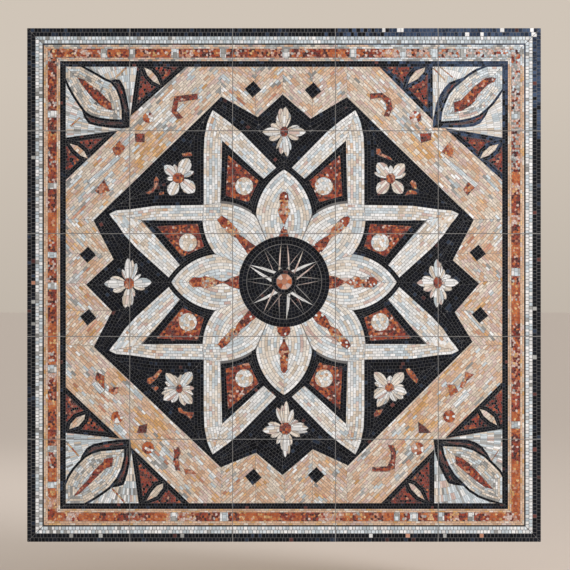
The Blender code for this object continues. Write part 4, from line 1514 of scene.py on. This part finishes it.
# tones run from the darkest to the palest stone of a kind, and veins is the colour of its veins.
stoneColours = {
    "blackMarble": dict(tones=("#050609", "#0b0d12", "#151820"), veins="#242730", rough=0.5, shine=0.12),
    # The slate kinds are laid among the black mostly as painted reflection, a bluish sheen on the black
    # stones.
    "navySheenSlate": dict(tones=("#10151d", "#1c2431", "#2f3a4a"), veins="#3b4757", rough=0.5, shine=0.15),
    "blueSheenSlate": dict(tones=("#111a29", "#233248", "#3f5069"), veins="#52627a", rough=0.5, shine=0.2),
    "ivoryMarble": dict(tones=("#cac1b4", "#dcd4c7", "#ebe5da"), veins="#c3b7a6", rough=0.4, shine=0.45),
    "whiteMarble": dict(tones=("#d0cfcb", "#e3e2de", "#f1f0ed"), veins="#c4c3bf", rough=0.36, shine=0.5),
    "paleBlueMarble": dict(tones=("#a9b3b6", "#c4cdd0", "#dde4e6"), veins="#a5afb2", rough=0.36, shine=0.5),
    "creamLimestone": dict(tones=("#bfb09c", "#d4c6b4", "#e5dacb"), veins="#bdaa90", rough=0.5, shine=0.4),
    "peachLimestone": dict(tones=("#bd987a", "#cfac8d", "#ddc0a5"), veins="#b98a66", rough=0.5, shine=0.4),
    "salmonMarble": dict(tones=("#a06a50", "#bd8468", "#d19f86"), veins="#a8654a", rough=0.42, shine=0.45),
    "ochreMarble": dict(tones=("#b68a55", "#d2a36b", "#e2bd8d"), veins="#b78850", rough=0.45, shine=0.45),
    "orangeMarble": dict(tones=("#8a3d1c", "#b0572b", "#c97840"), veins="#964824", rough=0.42, shine=0.45),
    "redMarble": dict(tones=("#4f140e", "#7b2417", "#a03e28"), veins="#a5604a", rough=0.38, shine=0.45),
    "porphyry": dict(tones=("#301514", "#49211e", "#673630"), veins="#7d5049", rough=0.38, shine=0.4),
    "pinkMarble": dict(tones=("#bda297", "#ccb4a8", "#d9c6bb"), veins="#b08a7d", rough=0.42, shine=0.45),
    "greyMarble": dict(tones=("#807f7a", "#9e9d98", "#babab5"), veins="#7c7c77", rough=0.42, shine=0.45),
}
# Sizes of the materials' patterns, in millimetres.
patterns = {
    "clouding": 9, "veins": 22, "honing": 1.6, "cementPatches": 60, "sand": 0.8,
    "boardGrain": 160, "boardFibres": 18, "unevenness": 14,
}


def stoneMaterial(name, look):
    # Honed natural stone: each piece has its own tone, soft clouding and a few veins, and a dull shine.
    material, add, shader = newMaterial(name)
    tone = add("ShaderNodeAttribute", attribute_name="stoneTone").outputs["Fac"]
    place = add("ShaderNodeTexCoord").outputs["Object"]
    # The tone also moves the pattern, so that no vein runs on from one stone into the next.
    shift = add("ShaderNodeMath", {0: tone, 1: 3.7}, operation="MULTIPLY")
    own = add("ShaderNodeVectorMath", {0: place, 1: shift}, operation="ADD")
    clouding = add("ShaderNodeTexNoise", {
        "Vector": own, "Scale": 1000 / patterns["clouding"], "Detail": 4.0, "Roughness": 0.6,
    })
    veins = add("ShaderNodeTexNoise", {
        "Vector": own, "Scale": 1000 / patterns["veins"], "Detail": 3.0, "Distortion": 1.2,
    })
    edge = add("ShaderNodeMath", {0: veins, 1: 0.5}, operation="SUBTRACT")
    narrow = add("ShaderNodeMath", {0: edge}, operation="ABSOLUTE")
    vein = add("ShaderNodeMapRange", {
        "Value": narrow, "From Min": 0.0, "From Max": 0.035, "To Min": 0.55, "To Max": 0.0,
    })
    low, middle, high = look["tones"]
    mixed = add("ShaderNodeMath", {0: clouding, 1: 0.35, 2: tone}, operation="MULTIPLY_ADD")
    centred = add("ShaderNodeMath", {0: mixed, 1: 0.175}, operation="SUBTRACT", use_clamp=True)
    stops = ((0.0, low), (0.5, middle), (1.0, high))
    colour = add("ShaderNodeValToRGB", {"Fac": centred}, stops)
    blend = add("ShaderNodeMix", {"Factor": vein, 6: colour, 7: toLinear(look["veins"])}, data_type="RGBA")
    grain = add("ShaderNodeTexNoise", {"Vector": own, "Scale": 1000 / patterns["honing"], "Detail": 2.0})
    dull = add("ShaderNodeMapRange", {
        "Value": grain, "To Min": look["rough"] - 0.08, "To Max": look["rough"] + 0.12,
    })
    bump = add("ShaderNodeBump", {"Height": grain, "Strength": 0.25, "Distance": 0.0002})
    connect(shader, {
        "Base Color": blend.outputs[2], "Roughness": dull, "Normal": bump,
        "Specular IOR Level": look["shine"],
    })
    return material


def cementMaterial():
    # Grey cement grout, struck off below the stones: sandy and matt, a little paler where it dried thin.
    material, add, shader = newMaterial("cementGrout")
    place = add("ShaderNodeTexCoord").outputs["Object"]
    blotches = add("ShaderNodeTexNoise", {
        "Vector": place, "Scale": 1000 / patterns["cementPatches"], "Detail": 3.0,
    })
    sand = add("ShaderNodeTexNoise", {"Vector": place, "Scale": 1000 / patterns["sand"], "Detail": 2.0})
    both = add("ShaderNodeMath", {0: sand, 1: 0.5, 2: blotches}, operation="MULTIPLY_ADD")
    stops = ((0.4, "#575654"), (0.75, "#6b6967"), (1.0, "#807e7b"))
    colour = add("ShaderNodeValToRGB", {"Fac": both}, stops)
    # Between the sheets it was pointed last, with a paler mix.
    split = add("ShaderNodeSeparateXYZ", {"Vector": place})
    firstSeam = (panel["side"] / 2 + panel["sheetGap"] / 2) / sheetStep
    seams = []
    for axis in ("X", "Z"):
        steps = add("ShaderNodeMath", {
            0: split.outputs[axis], 1: 1000 / sheetStep, 2: firstSeam,
        }, operation="MULTIPLY_ADD")
        part = add("ShaderNodeMath", {0: steps}, operation="FRACT")
        offMiddle = add("ShaderNodeMath", {0: part, 1: 0.5}, operation="SUBTRACT")
        seams.append(add("ShaderNodeMath", {0: offMiddle}, operation="ABSOLUTE"))
    widest = add("ShaderNodeMath", {0: seams[0], 1: seams[1]}, operation="MAXIMUM")
    pale = add("ShaderNodeMapRange", {
        "Value": widest, "From Min": 0.5 - 2.0 / sheetStep, "From Max": 0.5 - 1.2 / sheetStep,
    })
    blend = add("ShaderNodeMix", {"Factor": pale, 6: colour, 7: toLinear("#85837f")}, data_type="RGBA")
    bump = add("ShaderNodeBump", {"Height": sand, "Strength": 0.5, "Distance": 0.0003})
    connect(shader, {
        "Base Color": blend.outputs[2], "Roughness": 0.92, "Specular IOR Level": 0.2, "Normal": bump,
    })
    return material


def boardMaterial():
    # Birch plywood, bare: pale straw brown with a long soft grain along the board.
    material, add, shader = newMaterial("birchPlywood")
    place = add("ShaderNodeTexCoord").outputs["Object"]
    stretch = add("ShaderNodeMapping", {"Vector": place, "Scale": (1.0, 14.0, 14.0)})
    grain = add("ShaderNodeTexNoise", {
        "Vector": stretch, "Scale": 1000 / patterns["boardGrain"], "Detail": 6.0, "Roughness": 0.62,
    })
    fine = add("ShaderNodeTexNoise", {
        "Vector": stretch, "Scale": 1000 / patterns["boardFibres"], "Detail": 3.0,
    })
    both = add("ShaderNodeMath", {0: fine, 1: 0.3, 2: grain}, operation="MULTIPLY_ADD")
    stops = ((0.4, "#a98558"), (0.65, "#c6a678"), (0.9, "#d8bf95"))
    colour = add("ShaderNodeValToRGB", {"Fac": both}, stops)
    bump = add("ShaderNodeBump", {"Height": both, "Strength": 0.2, "Distance": 0.0004})
    connect(shader, {"Base Color": colour, "Roughness": 0.7, "Normal": bump})
    return material


cement = cementMaterial()
stoneMaterials = {name: stoneMaterial(name, look) for name, look in stoneColours.items()}
report("materials made")

# Depths of the stones and their cement, in metres.
setting = {
    "boardAndGap": 0.0123,  # from the wall to the back of the sheets
    "bedFace": 0.0214,  # the cement's face, which the joints show
    "stoneBack": 0.0160,  # the stones' backs, in the cement
    "stoneRise": 0.00555,  # from a stone's back to where its worn edge starts
    "riseChange": 0.00015,  # how much more that is at most
    "chamfer": 0.00022,  # depth of the worn edge
    "chamferScale": 0.955,  # size of the face within it, against the stone's
    "unevenness": 0.00016,  # between the lowest and the highest place of the faces' waves
    "bedBehind": 0.6,  # how far the cement stays behind the outermost stones, in millimetres
}


def stoneSettingTree():
    # Stands each flat shape up as a stone with a worn edge, adds the cement bed and sets the materials.
    tree = bpy.data.node_groups.new("stoneSetting", "GeometryNodeTree")
    sockets = tree.interface
    sockets.new_socket("Geometry", in_out="INPUT", socket_type="NodeSocketGeometry")
    sizes = {
        "Stone rise": "stoneRise", "Rise change": "riseChange", "Chamfer": "chamfer",
        "Chamfer scale": "chamferScale", "Unevenness": "unevenness",
    }
    for name, key in sizes.items():
        sockets.new_socket(name, in_out="INPUT", socket_type="NodeSocketFloat").default_value = setting[key]
    for name in ("Bed size", "Bed centre"):
        sockets.new_socket(name, in_out="INPUT", socket_type="NodeSocketVector")
    sockets.new_socket("Seed", in_out="INPUT", socket_type="NodeSocketInt").default_value = panel["seed"]
    sockets.new_socket("Geometry", in_out="OUTPUT", socket_type="NodeSocketGeometry")
    given = tree.nodes.new("NodeGroupInput").outputs
    add = partial(addNode, tree)
    tone = add("FunctionNodeRandomValue", {"Seed": given["Seed"]}, data_type="FLOAT")
    stored = add("GeometryNodeStoreNamedAttribute", {
        "Geometry": given["Geometry"], "Value": tone.outputs[1], "Name": "stoneTone",
    }, data_type="FLOAT", domain="FACE")
    later = add("ShaderNodeMath", {0: given["Seed"], 1: 11}, operation="ADD")
    top = add("ShaderNodeMath", {0: given["Stone rise"], 1: given["Rise change"]}, operation="ADD")
    rise = add("FunctionNodeRandomValue", {
        "Seed": later, 2: given["Stone rise"], 3: top,
    }, data_type="FLOAT")
    walls = add("GeometryNodeExtrudeMesh", {
        "Mesh": stored, "Offset Scale": rise.outputs[1], "Individual": True,
    }, mode="FACES")
    worn = add("GeometryNodeExtrudeMesh", {
        "Mesh": walls, "Selection": walls.outputs["Top"],
        "Offset Scale": given["Chamfer"], "Individual": True,
    }, mode="FACES")
    narrowed = add("GeometryNodeScaleElements", {
        "Geometry": worn, "Selection": worn.outputs["Top"], "Scale": given["Chamfer scale"],
    }, domain="FACE")
    place = add("GeometryNodeInputPosition")
    waves = add("ShaderNodeTexNoise", {
        "Vector": place, "Scale": 1000 / patterns["unevenness"], "Detail": 1.0,
    })
    centred = add("ShaderNodeMath", {0: waves, 1: 0.5}, operation="SUBTRACT")
    amount = add("ShaderNodeMath", {0: centred, 1: given["Unevenness"]}, operation="MULTIPLY")
    along = add("ShaderNodeCombineXYZ", {"Y": amount})
    uneven = add("GeometryNodeSetPosition", {
        "Geometry": narrowed, "Selection": worn.outputs["Top"], "Offset": along,
    })
    backs = add("GeometryNodeFlipFaces", {"Mesh": stored})
    joined = add("GeometryNodeJoinGeometry")
    for part in (backs, uneven):
        connect(joined, {0: part})
    closed = add("GeometryNodeMergeByDistance", {"Geometry": joined, "Distance": 0.00001})
    bed = add("GeometryNodeMeshCube", {"Size": given["Bed size"]})
    moved = add("GeometryNodeTransform", {"Geometry": bed, "Translation": given["Bed centre"]})
    whole = add("GeometryNodeJoinGeometry")
    for part in (moved, closed):
        connect(whole, {0: part})
    real = add("GeometryNodeRealizeInstances", {"Geometry": whole})
    flow = add("GeometryNodeSetMaterial", {"Geometry": real, "Material": cement})
    kind = add("GeometryNodeInputNamedAttribute", {"Name": "stoneKind"}, data_type="INT")
    for name, material in stoneMaterials.items():
        match = add("FunctionNodeCompare", {2: kind, 3: kindOf[name]}, data_type="INT", operation="EQUAL")
        flow = add("GeometryNodeSetMaterial", {"Geometry": flow, "Selection": match, "Material": material})
    connect(tree.nodes.new("NodeGroupOutput"), {0: flow})
    return tree


def flatStones(name, stones):
    y = -setting["stoneBack"]
    points, faces, kindValues = [], [], []
    for shape, kind in stones:
        faces.append(range(len(points), len(points) + len(shape)))
        points += [(px / 1000, y, py / 1000) for px, py in shape]
        kindValues.append(kind)
    mesh = bpy.data.meshes.new(name)
    mesh.from_pydata(points, [], [list(f) for f in faces])
    mesh.attributes.new("stoneKind", "INT", "FACE").data.foreach_set("value", kindValues)
    return mesh


def setSheet(tree, row, column, stones):
    name = f"mosaicSheet_r{row + 1}_c{column + 1}"
    mesh = flatStones(name, stones)
    ob = bpy.data.objects.new(name, mesh)
    bpy.context.scene.collection.objects.link(ob)
    half = panel["side"] / 2
    lowX, highY = -half + column * sheetStep, half - row * sheetStep
    ends = [lowX, lowX + sheetSide, highY - sheetSide, highY]
    for i, edge in enumerate((-half, half, -half, half)):  # the cement stays just behind the outermost stones
        if abs(ends[i] - edge) < 0.01:
            ends[i] -= math.copysign(setting["bedBehind"], edge)
    left, right, low, high = ends
    back, face = setting["boardAndGap"], setting["bedFace"]
    modifier = ob.modifiers.new("stoneSetting", "NODES")
    modifier.node_group = tree
    values = {
        "Bed size": ((right - left) / 1000, face - back, (high - low) / 1000),
        "Bed centre": ((left + right) / 2000, -(face + back) / 2, (low + high) / 2000),
        "Seed": panel["seed"] + row * panel["sheetsASide"] + column,
    }

    for item in tree.interface.items_tree:
        if item.in_out == "INPUT" and item.name in values:
            modifier[item.identifier] = values[item.name]
    graph = bpy.context.evaluated_depsgraph_get()
    done = bpy.data.meshes.new_from_object(ob.evaluated_get(graph))
    ob.modifiers.clear()
    ob.data = done
    done.name = name
    bpy.data.meshes.remove(mesh)
    addFrontMap(done, ends)
    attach(ob, "root")
    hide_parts(f"sheet_r{row + 1}_c{column + 1}")
    return ob


def addFrontMap(mesh, ends):
    # A map seen straight from the front, for the baked colours: one sheet fills it, all but its margin.
    margin = 1
    layer = mesh.uv_layers.new(name="OFBake")
    corners = np.empty(len(mesh.loops), int)
    mesh.loops.foreach_get("vertex_index", corners)
    points = np.empty(len(mesh.vertices) * 3)
    mesh.vertices.foreach_get("co", points)
    points = points.reshape(-1, 3)[corners] * 1000
    left, right, low, high = ends
    u = (points[:, 0] - left + margin) / (right - left + 2 * margin)
    v = (points[:, 2] - low + margin) / (high - low + 2 * margin)
    layer.data.foreach_set("uv", np.column_stack((u, v)).ravel())


settingTree = stoneSettingTree()
triangles = 0
for (row, column), stones in sheets.items():
    piece = setSheet(settingTree, row, column, stones)
    triangles += sum(len(p.vertices) - 2 for p in piece.data.polygons)
report(f"sheets set: {triangles} triangles")

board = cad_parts["backing_board"]
board.data.materials.clear()
board.data.materials.append(boardMaterial())


studio = {
    "distance": 6.0,
    "halfView": 0.8317,  # metres from the middle to the edge of the picture, at the panel's face
    "face": 0.022,
    "aimX": 0.0029,
    "floorDrop": 0.14,
    "floorReach": 60.0,
    "floorColour": "#bdb2a8",
}
camera = bpy.data.objects.new("camera", bpy.data.cameras.new("camera"))
bpy.context.scene.collection.objects.link(camera)
camera.location = (studio["aimX"], -studio["distance"], 0.0)
camera.rotation_euler = (math.pi / 2, 0, 0)
camera.data.lens = camera.data.sensor_width / 2 * (studio["distance"] - studio["face"]) / studio["halfView"]
camera.data.clip_end = 100
bpy.context.scene.camera = camera


lights = {
    "key": {"kind": "SUN", "place": (3.0, -2.9, 2.0), "size": 0.42, "power": 1.42, "colour": "#fdfcff"},
    "side": {"kind": "AREA", "place": (3.0, -2.4, 1.4), "size": 1.6, "power": 70, "colour": "#fafaff"},
    "fill": {"kind": "AREA", "place": (-3.4, -3.8, 0.8), "size": 3.0, "power": 20, "colour": "#eef2ff"},
    "back": {"kind": "AREA", "place": (-2.0, 3.5, 2.5), "size": 2.5, "power": 40, "colour": "#ffffff"},
    "ceiling": {"kind": "SUN", "place": (0.6, -1.0, 5.0), "size": 0.9, "power": 1.1, "colour": "#fffdf8"},
}
for name, look in lights.items():
    lamp = bpy.data.lights.new(name, look["kind"])
    lamp.energy = look["power"]
    if look["kind"] == "SUN":
        lamp.angle = look["size"]
    else:
        lamp.shape, lamp.size = "DISK", look["size"]
    lamp.color = toLinear(look["colour"])[:3]
    ob = bpy.data.objects.new(name, lamp)
    bpy.context.scene.collection.objects.link(ob)
    ob.location = look["place"]
    ob.rotation_euler = (-Vector(look["place"])).to_track_quat("-Z", "Y").to_euler()

world = bpy.context.scene.world or bpy.data.worlds.new("world")
bpy.context.scene.world = world
world.use_nodes = True
# The room is pale and warm behind the panel and a dimmer grey in front of it.
backdrop = world.node_tree
add = partial(addNode, backdrop)
direction = add("ShaderNodeTexCoord").outputs["Generated"]
depth = add("ShaderNodeSeparateXYZ", {"Vector": direction})
behind = add("ShaderNodeMapRange", {"Value": depth.outputs["Y"], "From Min": -0.3, "From Max": 0.7})
sky = add("ShaderNodeValToRGB", {"Fac": behind}, ((0.0, "#8e9298"), (1.0, "#d0c5b8")))
# Low down it meets the floor's own tone.
height = add("ShaderNodeMapRange", {
    "Value": depth.outputs["Z"], "From Min": -0.02, "From Max": 0.1, "To Min": 0.84, "To Max": 1.0,
})
connect(backdrop.nodes["Background"], {"Color": sky, "Strength": height})
bpy.context.scene.view_settings.view_transform = "Standard"

floorMesh = bpy.data.meshes.new("floor")
reach, z = studio["floorReach"], -panel["side"] / 2000 - studio["floorDrop"]
floorMesh.from_pydata([(x, y, z) for x, y in square(reach)], [], [(0, 1, 2, 3)])
floor = bpy.data.objects.new("floor", floorMesh)
bpy.context.scene.collection.objects.link(floor)
floorMaterial, _, floorShader = newMaterial("paleFloor")
connect(floorShader, {"Base Color": toLinear(studio["floorColour"]), "Roughness": 0.9})
floorMesh.materials.append(floorMaterial)

report("studio ready")
